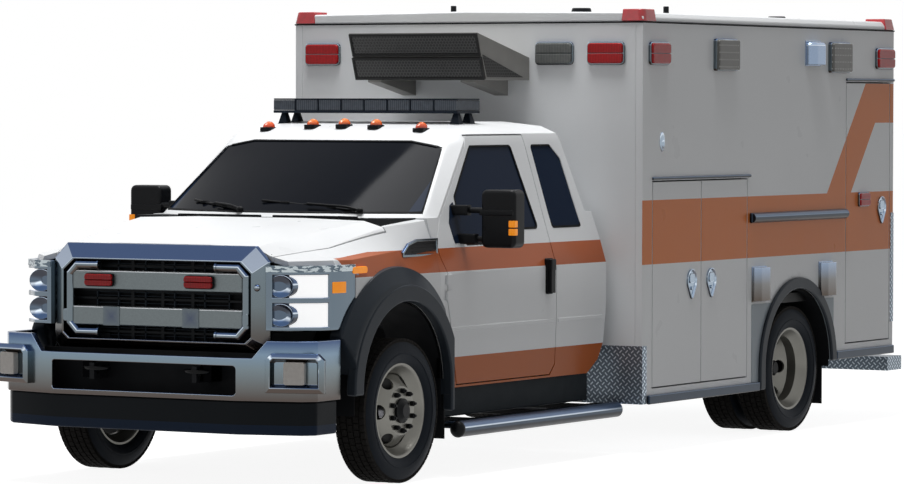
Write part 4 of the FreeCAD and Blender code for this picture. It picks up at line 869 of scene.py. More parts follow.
def disc(name, face, seat):
    """The dished disc, from the hub face out to where it is welded in the rim."""
    outer = rim_radius - 0.040
    lean = 1 if face > seat else -1
    steel = 0.010
    front = [(face, 0.062), (face, 0.138), (face - lean * 0.012, 0.150), (seat + lean * 0.030, 0.196),
             (seat, outer)]
    section = front + [(offset - steel, radius) for offset, radius in reversed(front)]
    piece = turned(name, (0, 0, 0), section + [section[0]], wheel_sides)
    cutters = []
    for number in range(hand_holes):
        cutter = rod("cutter", (-0.3, 0, hole_circle), (0.3, 0, hole_circle), hole_size, 32)
        stretch(cutter, everything, (1, 1.40, 0.88), (0, 0, hole_circle))
        cutter.data.transform(Matrix.Rotation(2 * math.pi * (number + 0.5) / hand_holes, 4, "X"))
        cutters.append(cutter)
    cutter = joined("cutters", cutters)
    modified(piece, "BOOLEAN", operation="DIFFERENCE", object=cutter)
    discard(cutter)
    piece.select_set(True)
    smooth(32)
    return piece


def hub(name, face, cap_out):
    """The black hub cap, with its flange, and the ten nuts round it."""
    cap = turned(name, (0, 0, 0), [(face - 0.010, 0.070), (face + 0.012, 0.070), (face + 0.018, 0.056),
                                   (face + cap_out - 0.012, 0.050), (face + cap_out, 0.038),
                                   (face + cap_out, 0.0005)], 40)
    nuts = []
    for number in range(lugs):
        turn = Matrix.Rotation(2 * math.pi * number / lugs, 4, "X")
        nut = rod("nut", (face - 0.002, 0, lug_circle), (face + 0.020, 0, lug_circle), 0.0155, 6)
        inset(nut, facing_out, (0.004, 0.006))
        stud = rod("stud", (face + 0.018, 0, lug_circle), (face + 0.034, 0, lug_circle), 0.0075, 12)
        nuts += [rounded(nut, 0.0015, 1), stud]
        for item in nuts[-2:]:
            item.data.transform(turn)
    return joined(name, [cap] + nuts)


wheel_paint = grained("wheel_paint", display(118, 117, 112), (0.26, 0.38), 120.0, 0.0004, 0.2, Metallic=0.6)
hub_black = grained("hub_black", display(22, 23, 25), (0.3, 0.45), 160.0, 0.0004)
front_face, rear_face = 0.096, -0.124
front_wheel_model = joined("front_wheel_model", [rim("rim"), disc("disc", front_face, 0.010)])
front_hub_model = hub("front_hub_model", front_face, 0.034)
drum_section = [(-0.018, 0.080), (-0.018, 0.204), (-0.006, 0.204), (-0.006, 0.080)]
front_drum_model = turned("front_drum_model", (0, 0, 0), drum_section + [drum_section[0]], 48)
rear_wheel_model = joined("rear_wheel_model", [rim("rim"), disc("disc", rear_face, -0.030)])
rear_hub_model = hub("rear_hub_model", rear_face + 0.002, 0.110)
for side, sign in SIGNS:
    mirror = Matrix.Scale(sign, 4, (1, 0, 0))
    front, rear = "front_" + side, "rear_" + side
    front_place = Matrix.Translation((sign * front_wheel_x, front_axle_y, tyre_radius)) @ mirror
    outer_place = Matrix.Translation((sign * outer_twin_x, rear_axle_y, tyre_radius)) @ mirror
    inner_place = Matrix.Translation((sign * inner_twin_x, rear_axle_y, tyre_radius)) @ mirror @ MIRROR
    fit(copied(front_wheel_model, front + "_wheel_steel", front_place), front + "_wheel", "wheel_steel",
        wheel_paint, front + "_wheel")
    pair = [copied(rear_wheel_model, "outer", outer_place), copied(rear_wheel_model, "inner", inner_place)]
    fit(joined(rear + "_wheel_steel", pair), rear + "_wheel", "wheel_steel", wheel_paint, rear + "_wheel")
    for model, name, place, axle in ((front_hub_model, "_hub_nuts", front_place, front),
                                     (front_drum_model, "_brake_drum", front_place, front),
                                     (rear_hub_model, "_hub_nuts", outer_place, rear)):
        fit(copied(model, axle + name, place), axle + "_wheel", "trim_black", hub_black)
discard(front_wheel_model, front_hub_model, front_drum_model, rear_wheel_model, rear_hub_model)
print("wheels fitted")

# %% [markdown]
# The grille is a deep bright ring. From the front it reads as three steps: a broad sloping outer
# face, a raised lip and a second lip inside it, with the top corners cut off. A block becomes that
# ring by bevelling its corners; its front face is then extruded, resized and pushed in step by step.
# %% The grille ring
grille_front = back(-0.915)
grille_back = back(-0.845)
ring_half, ring_low, ring_high = 0.716, 0.745, 1.345


def ring_step(wide, tall, shift_z, depth):
    """Extrudes the picked front face, resizes it to a new opening and pushes it in."""
    middle = Vector((0, grille_front, (ring_low + ring_high) / 2))
    bpy.ops.mesh.extrude_region()
    bpy.ops.transform.resize(value=(wide, 1, tall), center_override=middle)
    bpy.ops.transform.translate(value=(0, depth, shift_z))


ring = block("grille_ring", (-ring_half, grille_front + 0.055, ring_low), (ring_half, grille_back, ring_high))
edged(ring, lambda middle, aim: abs(aim.y) > 0.9 and middle.z > ring_high - 0.01, 0.085, 1)
edged(ring, lambda middle, aim: abs(aim.y) > 0.9 and middle.z < ring_low + 0.01, 0.045, 1)
pick(ring, facing_front)
for step in ((0.995, 0.990, 0.0, -0.006), (0.890, 0.768, -0.011, -0.049), (0.985, 0.970, 0.0, 0.0),
             (0.990, 0.985, 0.0, 0.030), (0.995, 0.990, 0.0, 0.035)):
    ring_step(*step)
bpy.ops.mesh.delete(type="FACE")
done()
opened(ring, lambda middle, aim: aim.y > 0.9 and middle.y > grille_back - 0.001)
rounded(ring, 0.005, 3, 14)
fit(ring, "chassis", "chrome", ring_chrome, "grille_surround")
print("grille ring", len(ring.data.polygons), "faces")

# %% [markdown]
# Two broad flat bars cross the opening, brushed rather than polished. The face of each is raised a
# little within its edge, and stands in front of the dark air mesh.
# %% Grille bars
brushed = Finish("brushed_bar", Metallic=0.85)
streak = brushed.noise(160.0, 4.0, (0.6, 1, 1))
# Faces that look upwards are painted near white: a painted highlight along the bars' tops.
painted_top_highlight = brushed.axes(brushed.node("ShaderNodeNewGeometry", out="Normal"))[2] > 0.4
brushed_tone = brushed.mix(streak, display(94, 100, 102), display(116, 124, 126))
brushed.use(Base_Color=brushed.mix(painted_top_highlight, brushed_tone, display(226, 230, 234)),
            Roughness=brushed.spread(brushed.noise(60.0, 3.0), 0.34, 0.52),
            Normal=brushed.bump(streak, 0.12, 0.0005))
bar_front = grille_front + 0.010
upper_bar, lower_bar = 1.141, 0.940
bar_long, bar_tall = 0.565, 0.052
bars = []
for middle_z in (upper_bar, lower_bar):
    bar = block("bar", (-bar_long, bar_front, middle_z - bar_tall),
                (bar_long, bar_front + 0.055, middle_z + bar_tall))
    raised(bar, facing_front, 0.006, (0, -0.005, 0))
    bars.append(rounded(bar, 0.003, 2))
fit(joined("grille_bars", bars), "chassis", "chrome", brushed)
print(len(bars), "bars")

# %% [markdown]
# At each end of the opening a bright tube bends round like the letter C, its arms reaching
# inwards along the top and bottom of the opening. The tube is a round bar carried round the corner
# in short straight runs, with a small ball at each joint.
# %% C-shaped end tubes
tubes = []
arm_y = grille_front + 0.020
tube_radius, elbow_radius = 0.025, 0.0252
low_z, high_z, corner_cut = 0.848, 1.224, 0.05
for sign in (-1, 1):
    outer_x, turn_x, arm_x = sign * 0.586, sign * (0.586 - corner_cut), sign * 0.40
    for z, next_z in ((low_z, low_z + corner_cut), (high_z, high_z - corner_cut)):
        tubes.append(rod("arm", (arm_x, arm_y, z), (turn_x, arm_y, z), tube_radius, 16))
        tubes.append(rod("corner", (turn_x, arm_y, z), (outer_x, arm_y, next_z), tube_radius, 16))
        tubes.append(rod("end", (arm_x - sign * 0.012, arm_y, z), (arm_x, arm_y, z), 0.029, 16))
        for place in ((turn_x, arm_y, z), (outer_x, arm_y, next_z)):
            tubes.append(ball("elbow", place, (elbow_radius,) * 3, 16, 8))
    tubes.append(rod("upright", (outer_x, arm_y, low_z + corner_cut), (outer_x, arm_y, high_z - corner_cut),
                     tube_radius, 16))
tube_piece = joined("grille_end_tubes", tubes)
smooth(45)
fit(tube_piece, "chassis", "chrome", chrome)
print("end tubes", len(tube_piece.data.polygons), "faces")

# %% [markdown]
# Behind the bars a black slatted screen lets the air in. Thin level slats lie between a few uprights;
# each is one slim block, copied across and up.
# %% Air mesh
mesh_ribs = []
mesh_y = grille_back + 0.004
upright = block("upright", (-0.004, mesh_y - 0.004, 0.80), (0.004, mesh_y + 0.020, 1.262))
level = block("level", (-0.44, mesh_y + 0.002, -0.002), (0.44, mesh_y + 0.018, 0.002))
for x in (-0.44, -0.297, -0.114, 0.079, 0.279, 0.44):
    mesh_ribs.append(copied(upright, "rib", Matrix.Translation((x, 0, 0))))
for number in range(23):
    mesh_ribs.append(copied(level, "rib", Matrix.Translation((0, 0, 0.812 + number * 0.020))))
discard(upright, level)
backing = block("radiator_shroud", (-0.70, mesh_y + 0.022, 0.76), (0.70, mesh_y + 0.030, 1.30))
slat_black = grained("slat_black", display(30, 36, 42))
fit(joined("grille_air_mesh", mesh_ribs), "chassis", "trim_black", slat_black)
fit(rounded(backing, 0.002, 1), "chassis", "trim_black", rubber)
print(len(mesh_ribs), "mesh ribs")

# %% [markdown]
# More hands are needed from here on. `walk` extrudes one vertex from point to point, as when
# tracing an outline by hand. `tube` turns such a path into a round bar: its corners are bevelled,
# it becomes a curve for a moment to get its thickness, and then a mesh again. `wall`, `plate_of` and
# `shaved` make an upright sheet, a flat plate and a cut panel.
# %% Paths and tubes
def walk(name, points):
    """A line of edges through the points."""
    clear_selection()
    bpy.ops.mesh.primitive_plane_add(size=0.01, location=points[0])
    piece = settle(name)
    open_all("VERT")
    bpy.ops.mesh.merge(type="CENTER")
    for here, there in zip(points, points[1:]):
        step = Vector(there) - Vector(here)
        bpy.ops.mesh.extrude_region_move(TRANSFORM_OT_translate={"value": step})
    done()
    return piece


def tube(name, points, radius, bend=0.0, sides=3):
    """A round bar along the points, with rounded bends."""
    walk(name, points)
    if bend:
        open_all()
        bpy.ops.mesh.bevel(offset=bend, segments=4, affect="VERTICES")
        done()
    bpy.ops.object.convert(target="CURVE")
    piece = bpy.context.active_object
    piece.data.bevel_depth = radius
    piece.data.bevel_resolution = sides
    piece.data.use_fill_caps = True
    bpy.ops.object.convert(target="MESH")
    piece = bpy.context.active_object
    piece.name = piece.data.name = name
    open_all()
    close_whole()
    smooth(40)
    return piece


def wall(name, plan, levels):
    """An upright sheet: a walk round the plan, raised level by level."""
    piece = walk(name, [(x, y, levels[0]) for x, y in plan])
    open_all("EDGE")
    for low, high in zip(levels, levels[1:]):
        bpy.ops.mesh.extrude_region_move(TRANSFORM_OT_translate={"value": (0, 0, high - low)})
    done()
    return piece


def shaved(piece, place, direction):
    """Cuts a copied panel just under its outer face, so that all that stands out from it goes."""
    pick(piece, everything)
    bpy.ops.mesh.bisect(plane_co=place, plane_no=direction, use_fill=True, clear_outer=True)
    done()
    return piece


def plate_of(name, points, step):
    """A flat plate: its outline is walked, filled and extruded."""
    piece = walk(name, list(points) + [points[0]])
    open_all()
    bpy.ops.mesh.remove_doubles(threshold=1e-5)
    bpy.ops.mesh.edge_face_add()
    bpy.ops.mesh.extrude_region_move(TRANSFORM_OT_translate={"value": step})
    close_whole(doubles=False)
    return piece


print("paths and tubes ready")

# %% [markdown]
# The bumper is one heavy plated pressing. Every edge is rolled, which is what gives plating its
# bright lines, so the construction's own shape is copied and its edges are given a broad bevel.
# The dark apron below is moulded, with a slightly lighter lower lip.
# %% Bumper and apron
bumper = softened("front_bumper", "bumper_shell", 0.016, 4, 25)
fit(bumper, "chassis", "chrome", bumper_chrome, "front_bumper")
apron = softened("front_valance", "bumper_apron", 0.012, 3, 25)
apron_finish = Finish("apron_plastic", Specular_IOR_Level=0.06)
lip = apron_finish.axes()[2] < 0.375
grain = apron_finish.noise(240.0, 3.0)
apron_finish.use(Base_Color=apron_finish.mix(lip, display(27, 30, 33), display(34, 44, 60)),
                 Roughness=apron_finish.spread(apron_finish.noise(7.0), 0.34, 0.5),
                 Normal=apron_finish.bump(grain, 0.2, 0.0006))
fit(apron, "chassis", "trim_black", apron_finish, "front_valance")
print("bumper", len(bumper.data.polygons), "faces")

# %% [markdown]
# Each end of the bumper carries a square lamp in a plated box with a wide bevelled mouth. The box is a
# block whose front is inset twice and pushed in; the lamp is a rounded block that stands in it.
# %% Bumper lamp boxes
lamp_grey = Finish("diffusing_lens", Specular_IOR_Level=0.5)
lamp_cloud = lamp_grey.noise(50.0, 3.0)
lamp_grey.use(Base_Color=lamp_grey.mix(lamp_cloud, display(182, 177, 172), display(212, 207, 202)),
              Roughness=lamp_grey.spread(lamp_grey.noise(90.0), 0.3, 0.45),
              Normal=lamp_grey.bump(lamp_cloud, 0.1, 0.0005))
swept = math.atan2(0.100, 0.375)


def bumper_lamp():
    """Built facing -Y at the origin: the mouth and the lamp in it."""
    mouth = block("mouth", (-0.168, -0.016, -0.108), (0.168, 0.022, 0.108))
    edged(mouth, lambda middle, aim: abs(aim.y) > 0.9 and middle.z > 0.1, 0.035, 1)
    inset(mouth, facing_front, (0.024, 0.010), (0.006, 0.0), (0.016, -0.036))
    rounded(mouth, 0.005, 3, 20)
    lens = block("lens", (-0.060, -0.030, -0.062), (0.060, 0.010, 0.062))
    edged(lens, along_y, 0.012, 3)
    return mouth, rounded(lens, 0.005, 3)


for side, sign in SIGNS:
    mouth, lens = bumper_lamp()
    place = Matrix.Translation((sign * 0.948, back(-0.971), 0.662)) @ Matrix.Rotation(sign * swept, 4, "Z")
    mouth.data.transform(place)
    lens.data.transform(place)
    fit(mouth, "chassis", "chrome", bumper_chrome).name = "bumper_lamp_mouth_" + side
    fit(lens, "chassis", "lamp_clear", lamp_grey).name = "bumper_lamp_" + side
slot_back = block("slot_back", (-0.760, back(-0.905), 0.500), (0.760, back(-0.897), 0.760))
under_ring = block("under_ring", (-0.720, back(-0.856), 0.640), (0.720, back(-0.850), 0.744))
cavity_panels = [rounded(slot_back, 0.002, 1), rounded(under_ring, 0.002, 1)]
fit(joined("front_cavity_panels", cavity_panels), "chassis", "trim_black", rubber)
print("bumper lamps swept", round(math.degrees(swept), 1), "degrees")

# %% [markdown]
# Two forged loops for a tow line lie level in the dark slot. A ring is stretched into an oval and
# joined to a flat shank, which reaches back to the plate on the chassis rail.
# %% Tow loops
def tow_loop(name, x):
    clear_selection()
    centre = (x, back(-1.000), 0.655)
    bpy.ops.mesh.primitive_torus_add(major_radius=0.058, minor_radius=0.0125, major_segments=36,
                                     minor_segments=12, location=centre)
    loop = settle(name)
    stretch(loop, everything, (1.25, 0.72, 1), centre)
    bpy.ops.object.shade_smooth()
    shank = rounded(block("shank", (x - 0.022, back(-0.968), 0.642), (x + 0.022, back(-0.890), 0.668)), 0.005)
    return joined(name, [loop, shank])


hook_black = grained("hook_enamel", display(16, 17, 19), (0.18, 0.3), 90.0, 0.0004, 0.15)
tow_loop_x = 0.335
for side, sign in SIGNS:
    fit(tow_loop("tow_loop_" + side, sign * tow_loop_x), "chassis", "steel", hook_black)
print("tow loops placed")

# %% [markdown]
# A warning lamp is a rounded lens in a plated bezel. Each lens has two rows, parted by a groove,
# and upright flutes that scatter the light. One maker of such lamps is enough: it builds a lamp
# facing +X at the origin, at any size, and the lamp is then turned to its wall.
# %% Warning lamps
def lens_finish(name, deep, light, scale=0.011, dots=0.0):
    """Coloured plastic with flutes, and for clear lenses a faint pattern of diodes behind."""
    finish = Finish(name, Specular_IOR_Level=0.25)
    x, y, z = finish.axes()
    across = x + y
    flute = (across * (1 / scale)).math("PINGPONG", 0.5) * 2
    wave = finish.noise(38.0, 2.0)
    shade = finish.mix(flute * 0.6 + wave * 0.5, deep, light)
    if dots:
        column = (across * (1 / 0.026)).math("FRACT") - 0.5
        row = (z * (1 / 0.045)).math("FRACT") - 0.5
        spot = (column * column * 0.4 + row * row) < 0.012
        shade = finish.mix(spot * dots, shade, display(225, 226, 222))
    finish.use(Base_Color=shade, Roughness=finish.spread(wave, 0.14, 0.3),
               Normal=finish.bump(flute, 0.3, 0.0012))
    return finish


row_gap = 0.0024
red_lens = lens_finish("red_lens", display(120, 6, 12), display(196, 22, 30))
clear_lens = lens_finish("clear_lens", display(84, 84, 82), display(118, 117, 113), 0.013, 0.45)
grey_lens = lens_finish("front_clear_lens", display(78, 80, 80), display(122, 124, 122))


def warning_lamp(width, height, depth, corner=0.022, rows=2, bezel=0.008):
    """The bezel and the lens, facing +X, with the wall at x = 0."""
    border = block("bezel", (0, -width / 2, -height / 2), (depth * 0.55, width / 2, height / 2))
    edged(border, along_x, corner + bezel / 2, 4)
    inset(border, facing_out, (bezel * 0.5, 0.0))
    rounded(border, 0.003, 2)
    lenses = []
    tall = (height - 2 * bezel) / rows
    for row in range(rows):
        low = -height / 2 + bezel + row * tall
        lens = block("lens", (depth * 0.3, -width / 2 + bezel, low + row_gap / 2),
                     (depth, width / 2 - bezel, low + tall - row_gap / 2))
        edged(lens, lambda middle, aim: abs(aim.x) > 0.9 and abs(middle.z) > height / 2 - bezel - 0.004,
              corner, 4)
        lenses.append(rounded(lens, min(0.007, depth * 0.25), 3, 50))
    return border, joined("lens", lenses)


def hang_lamp(name, size, place, turn, body, lens_slot, finish, bezel_finish=chrome):
    """Makes a lamp, turns it to its wall and fixes both halves."""
    matrix = Matrix.Translation(place) @ Matrix.Rotation(math.radians(turn), 4, "Z")
    halves = (("_bezel", "chrome", bezel_finish), ("_lens", lens_slot, finish))
    for piece, (suffix, slot, skin) in zip(warning_lamp(*size), halves):
        piece.data.transform(matrix)
        fit(piece, body, slot, skin)
        piece.name = piece.data.name = name + suffix


placed = []


def lamp_row(name, places, turn, size, slot, finish, bezel_finish=chrome):
    """One lamp at each place. Lamps are numbered on from row to row."""
    for place in places:
        label = "%s_%d" % (name, len(placed))
        hang_lamp(label, size, place, turn, "chassis", slot, finish, bezel_finish)
        placed.append(label)


row_z = 2.437
red_size, clear_size, tail_size = (0.255, 0.142, 0.032), (0.265, 0.142, 0.032), (0.25, 0.146, 0.032, 0.016)
back_red_size, rear_red_size = (0.25, 0.142, 0.032), (0.275, 0.142, 0.032)
flood_size, grille_size = (0.300, 0.202, 0.044, 0.014, 1, 0.006), (0.190, 0.074, 0.030, 0.016, 2, 0.003)
front_turn, back_turn = -90, 90
lamp_row("front_red", [(x, module_front, row_z) for x in (-1.0345, 0.9945)], front_turn, red_size, "lamp_red",
         red_lens)
lamp_row("front_clear", [(x, module_front, row_z) for x in (-0.6355, 0.6355)], front_turn, clear_size,
         "lamp_clear", grey_lens)
for sign, turn in ((1, 0), (-1, 180)):
    side_x = sign * module_half
    lamp_row("side_red", [(side_x, back(2.7175), row_z)], turn, red_size, "lamp_red", red_lens)
    lamp_row("side_red", [(side_x, back(6.0225), row_z)], turn, rear_red_size, "lamp_red", red_lens)
    lamp_row("side_clear", [(side_x, back(distance), row_z) for distance in (3.6176, 5.2975)], turn,
             flood_size, "lamp_clear", clear_lens)
lamp_row("rear_upper", [(x, module_rear, row_z) for x in (0.975, -0.975)], back_turn, back_red_size,
         "lamp_red", red_lens)
lamp_row("rear_upper", [(x, module_rear, row_z) for x in (0.6125, -0.6125)], back_turn, clear_size,
         "lamp_clear", clear_lens)
for x in (0.975, -0.975):
    tail_reds = [(x, module_rear, z) for z in (1.075, 0.925)]
    lamp_row("tail", tail_reds, back_turn, tail_size, "lamp_red", red_lens)
    lamp_row("tail", [(x, module_rear, 0.775)], back_turn, tail_size, "lamp_clear", clear_lens)
lamp_row("grille_red", [(x, bar_front - 0.006, upper_bar) for x in (-0.375, 0.290)], front_turn, grille_size,
         "lamp_red", red_lens, hub_black)
print(len(placed), "warning lamps")

# %% [markdown]
# The construction's plain lamp boxes are now hidden behind the new lamps.
# %% Hide the plain lamp boxes
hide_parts("red_lamps")
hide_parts("clear_lamps")
print("plain lamp boxes hidden")

# %% [markdown]
# The lower grille bar has two small square lamps set flush, bluish because they reflect the sky, and
# a rounded plated tab at each end. A small round boss sits on the ring beside them.
# %% Small things on the grille
square_glass = Finish("square_lamp_glass", Specular_IOR_Level=0.6)
right_square, left_square, square_half = -0.300, 0.228, 0.055
sq_x, _, sq_z = square_glass.axes()
off_x = ((sq_x - right_square).math("ABSOLUTE")).math("MINIMUM", (sq_x - left_square).math("ABSOLUTE"))
off_z = (sq_z - lower_bar).math("ABSOLUTE")
away = off_x.math("MAXIMUM", off_z) * (1 / square_half)
square_glass.use(Base_Color=square_glass.mix(away, display(78, 96, 130), display(128, 144, 152)),
                 Roughness=square_glass.spread(square_glass.noise(80.0), 0.18, 0.32))
squares = []
for x in (right_square, left_square):
    square = block("square", (x - square_half, bar_front - 0.009, 0.887),
                   (x + square_half, bar_front + 0.004, 0.993))
    inset(square, facing_front, (0.006, -0.002))
    squares.append(rounded(square, 0.002, 2))
fit(joined("grille_square_lamps", squares), "chassis", "lamp_clear", square_glass)
tabs = []
for x in (-0.606, 0.590):
    tab = block("tab", (x - 0.020, bar_front - 0.012, 0.905), (x + 0.020, bar_front + 0.020, 0.975))
    edged(tab, along_y, 0.014, 3)
    tabs.append(rounded(tab, 0.004, 2))
boss = ball("boss", (0.668, grille_front - 0.003, 1.118), (0.019, 0.013, 0.019))
fit(joined("grille_tabs", tabs + [boss]), "chassis", "chrome", chrome)
print("grille details placed")

# %% [markdown]
# A headlamp is a plated tray behind a clear cover, in two storeys. Its front is an upright sheet that
# follows the corner of the bonnet. The faces of its windows are picked by place and become layers of
# their own, set back, so the frame between them is what is left standing, as in a moulding.
# %% Headlamps
lamp_plan = ((0.716, back(-0.905)), (0.752, back(-0.895)), (0.846, back(-0.870)), (0.872, back(-0.847)),
             (0.975, back(-0.755)), (0.993, back(-0.695)), (1.000, back(-0.670)), (1.015, back(-0.620)),
             (1.020, back(-0.560)), (1.025, back(-0.470)))
lamp_levels = (0.885, 0.905, 1.036, 1.066, 1.088, 1.150, 1.190, 1.206, 1.242)
window_glow = clouded("lit_window", (22.0, 2.0), display(236, 238, 240), display(250, 251, 252), (0.08, 0.2),
                      Specular_IOR_Level=0.4, Emission_Color=(1, 1, 1, 1), Emission_Strength=0.7)
amber_lens = lens_finish("amber_lens", display(214, 92, 4), display(255, 172, 40), 0.012)
amber_lens.shader.inputs["Emission Color"].default_value = display(255, 150, 40)
amber_lens.shader.inputs["Emission Strength"].default_value = 0.45
mottled = Finish("mottled_strip", Metallic=0.9)
fleck = mottled.noise(26.0, 4.0, (1, 1, 3))
dark_fleck, light_fleck = display(92, 104, 114), display(182, 192, 196)
mottled.use(Base_Color=mottled.mix(fleck.math("GREATER_THAN", 0.5), dark_fleck, light_fleck),
            Roughness=mottled.spread(fleck, 0.2, 0.4), Normal=mottled.bump(fleck, 0.5, 0.003))


lower_window, upper_window = (0.905, 1.036), (1.066, 1.190)


def in_window(middle, aim):
    """True for the faces of the two window rows, and not for the frame."""
    in_row = any(low < middle.z < high for low, high in (lower_window, upper_window))
    return in_row and back(-0.890) < middle.y < back(-0.700) and middle.x > 0.76


def kept(piece, name, test):
    """A copy of only the faces that pass a test."""
    return opened(copied(piece, name, Matrix()), lambda middle, aim: not test(middle, aim))


def thickened(piece, depth, offset=-1):
    """Gives a sheet its thickness."""
    return modified(piece, "SOLIDIFY", thickness=depth, offset=offset)


face_sheet = wall("lamp_sheet", lamp_plan, lamp_levels)
pick(face_sheet, everything)
close_whole(doubles=False)
front_facing = sum(face.normal.y for face in face_sheet.data.polygons) < 0
if not front_facing:
    face_sheet.data.flip_normals()


def lamp_layer(name, test, shift, depth, rounding=None):
    """One layer of the headlamp: the sheet's faces that pass, moved, thickened and rounded."""
    layer = kept(face_sheet, name, test)
    layer.data.transform(Matrix.Translation(shift))
    thickened(layer, depth)
    return rounded(layer, *rounding) if rounding else layer


frame_sheet = lamp_layer("lamp_frame", lambda middle, aim: not in_window(middle, aim), (0, 0, 0), 0.030,
                         (0.004, 2, 40))
glow_sheet = lamp_layer("lamp_windows", lambda middle, aim: in_window(middle, aim) and middle.x > 0.855,
                        (-0.006, 0.012, 0), 0.008, (0.002, 2, 50))
dark_sheet = lamp_layer("lamp_side", lambda middle, aim: in_window(middle, aim) and middle.x < 0.855,
                        (-0.006, 0.022, 0), 0.006)
amber_sheet = lamp_layer("lamp_amber", lambda middle, aim: 1.09 < middle.z < 1.15
                         and back(-0.672) < middle.y < back(-0.555), (0.003, -0.003, 0), 0.012,
                         (0.003, 2, 50))
strip_sheet = lamp_layer("lamp_strip", lambda middle, aim: middle.z > 1.21, (0.002, -0.003, 0), 0.006)
backer = softened("headlamps", "lamp_backs", 0.004, 2)
pick(backer, everything)
bpy.ops.transform.translate(value=(0, 0.036, 0))
done()
reflectors = []
bowl_x = 0.800
for low, high in (lower_window, upper_window):
    middle_z = (low + high) / 2
    bowl = rod("bowl", (bowl_x, back(-0.884), middle_z), (bowl_x, back(-0.830), middle_z), 0.064, 40)
    stretch(bowl, everything, (1.25, 1, 1), (bowl_x, back(-0.86), middle_z))
    inset(bowl, facing_front, (0.004, 0.0), (0.046, -0.030))
    reflectors.append(rounded(bowl, 0.003, 2))
bowls = joined("lamp_bowls", reflectors)
for model, name, slot, finish in ((frame_sheet, "frame", "chrome", lamp_chrome),
                                  (glow_sheet, "windows", "lamp_clear", window_glow),
                                  (amber_sheet, "amber", "lamp_amber", amber_lens),
                                  (strip_sheet, "strip", "chrome", mottled),
                                  (bowls, "bowls", "chrome", bowl_chrome),
                                  (dark_sheet, "sides", "chrome", bowl_chrome)):
    both(model, "headlamp_" + name + "_{}", "chassis", slot, finish)
fit(backer, "chassis", "chrome", lamp_chrome, "headlamps")
discard(face_sheet)
print("headlamps built")

# %% [markdown]
# Sheet-metal edges on a vehicle are folded, so none is truly sharp. Copies of the construction panels get
# small rounded edges, larger on mouldings such as the wheel-arch flares and the mirrors.
# %% Rounded panels
panels = [("wheel_flares", "arch_flares", (0.016, 3), "chassis", "flare", satin_trim),
          ("hood", "bonnet", (0.006, 3, 20), "hood", "white_paint", plain_paint),
          ("front_fenders", "fenders", (0.005, 2, 25), "chassis", "body_paint", cab_paint),
          ("cab_shell", "cab_body", (0.009, 3, 25), "chassis", "body_paint", cab_paint)]
for side in ("left", "right"):
    door = side + "_cab_door"
    panels.append((door, side + "_door_skin", (0.004, 2, 30), door, "body_paint", cab_paint))
panels += [("module_side_walls", "side_walls", (0.004, 2), "chassis", "body_paint", module_paint),
           ("module_end_walls", "end_walls", (0.004, 2), "chassis", "white_paint", plain_paint),
           ("module_roof", "roof_cap", (0.018, 4, 15), "chassis", "white_paint", plain_paint),
           ("tread_plates", "plate_guards", (0.003, 2), "chassis", "tread_plate", wall_plate),
           ("rub_rails", "rub_rails_rounded", (0.008, 3), "chassis", "trim_black", dark_chrome)]
for node, name, rounding, body, slot, finish in panels:
    fit(softened(node, name, *rounding), body, slot, finish, node)
print("panels rounded")

# %% [markdown]
# Compartment doors close flush. Their handles and lamps are made anew below, so a copied door is cut a
# fifth of a millimetre under its outer face: all that stood out goes, and the cut is closed at once.
# %% Compartment doors without their plain handles
hair = 0.0002
side_doors = {"left_front_locker_door": 1, "left_centre_locker_door": 1, "left_rear_locker_door": 1,
              "right_rear_locker_door": -1, "right_entry_door": -1}
for node, sign in side_doors.items():
    door = shaved(merged(node, node + "_skin"), (sign * (module_half - hair), 0, 0), (sign, 0, 0))
    fit(rounded(door, 0.004, 2), node, "body_paint", module_paint, node)
for side in ("left", "right"):
    node = "rear_%s_door" % side
    door = shaved(merged(node, node + "_skin"), (0, module_rear - hair, 0), (0, 1, 0))
    fit(rounded(door, 0.004, 2), node, "white_paint", plain_paint, node)
print(len(side_doors) + 2, "doors")

# %% [markdown]
# A roof light bar is a row of separate heads under one long cover. Each head is a fluted block in a
# dark tray; a pair of pointed legs at each end carries it. The heads are copies of one model.
# %% Light bar
bar_low, bar_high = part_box("light_bar")
bar_y = (bar_low.y + bar_high.y) / 2
bar_half, bar_floor = bar_high.x, 2.070
bar_blue = lens_finish("light_bar_lens", display(40, 46, 54), display(86, 94, 104), 0.014)
bar_tray = grained("light_bar_tray", display(28, 34, 42), (0.25, 0.4), 200.0, 0.0004, Metallic=0.3)
heads = 8
head_width = 2 * bar_half / heads


def bar_block(name, x_low, x_high, gap, z_low, z_high):
    """A block as deep as the light bar, less a gap at its front and back."""
    return block(name, (x_low, bar_low.y + gap, z_low), (x_high, bar_high.y - gap, z_high))


trays = []
for sheet in (bar_block("light_bar_tray", -bar_half, bar_half, 0.0, bar_floor, bar_floor + 0.016),
              bar_block("cover", -bar_half, bar_half, 0.003, bar_high.z - 0.009, bar_high.z)):
    edged(sheet, along_z, 0.018, 3)
    trays.append(rounded(sheet, 0.003, 2))
for number in range(1, heads):
    x = -bar_half + number * head_width
    trays.append(bar_block("post", x - 0.003, x + 0.003, 0.002, bar_floor + 0.014, bar_high.z - 0.006))
fit(joined("light_bar_tray", trays), "chassis", "light_bar", bar_tray, "light_bar")
head = bar_block("head", -head_width / 2 + 0.006, head_width / 2 - 0.006, 0.004, bar_floor + 0.017,
                 bar_high.z - 0.010)
pick(head, along_y)
bpy.ops.mesh.inset(thickness=0.006, depth=-0.004, use_individual=True)
done()
rounded(head, 0.003, 2)
row = [copied(head, "head", Matrix.Translation((-bar_half + (number + 0.5) * head_width, 0, 0)))
       for number in range(heads)]
discard(head)
fit(joined("light_bar_heads", row), "chassis", "light_bar", bar_blue)
legs = []
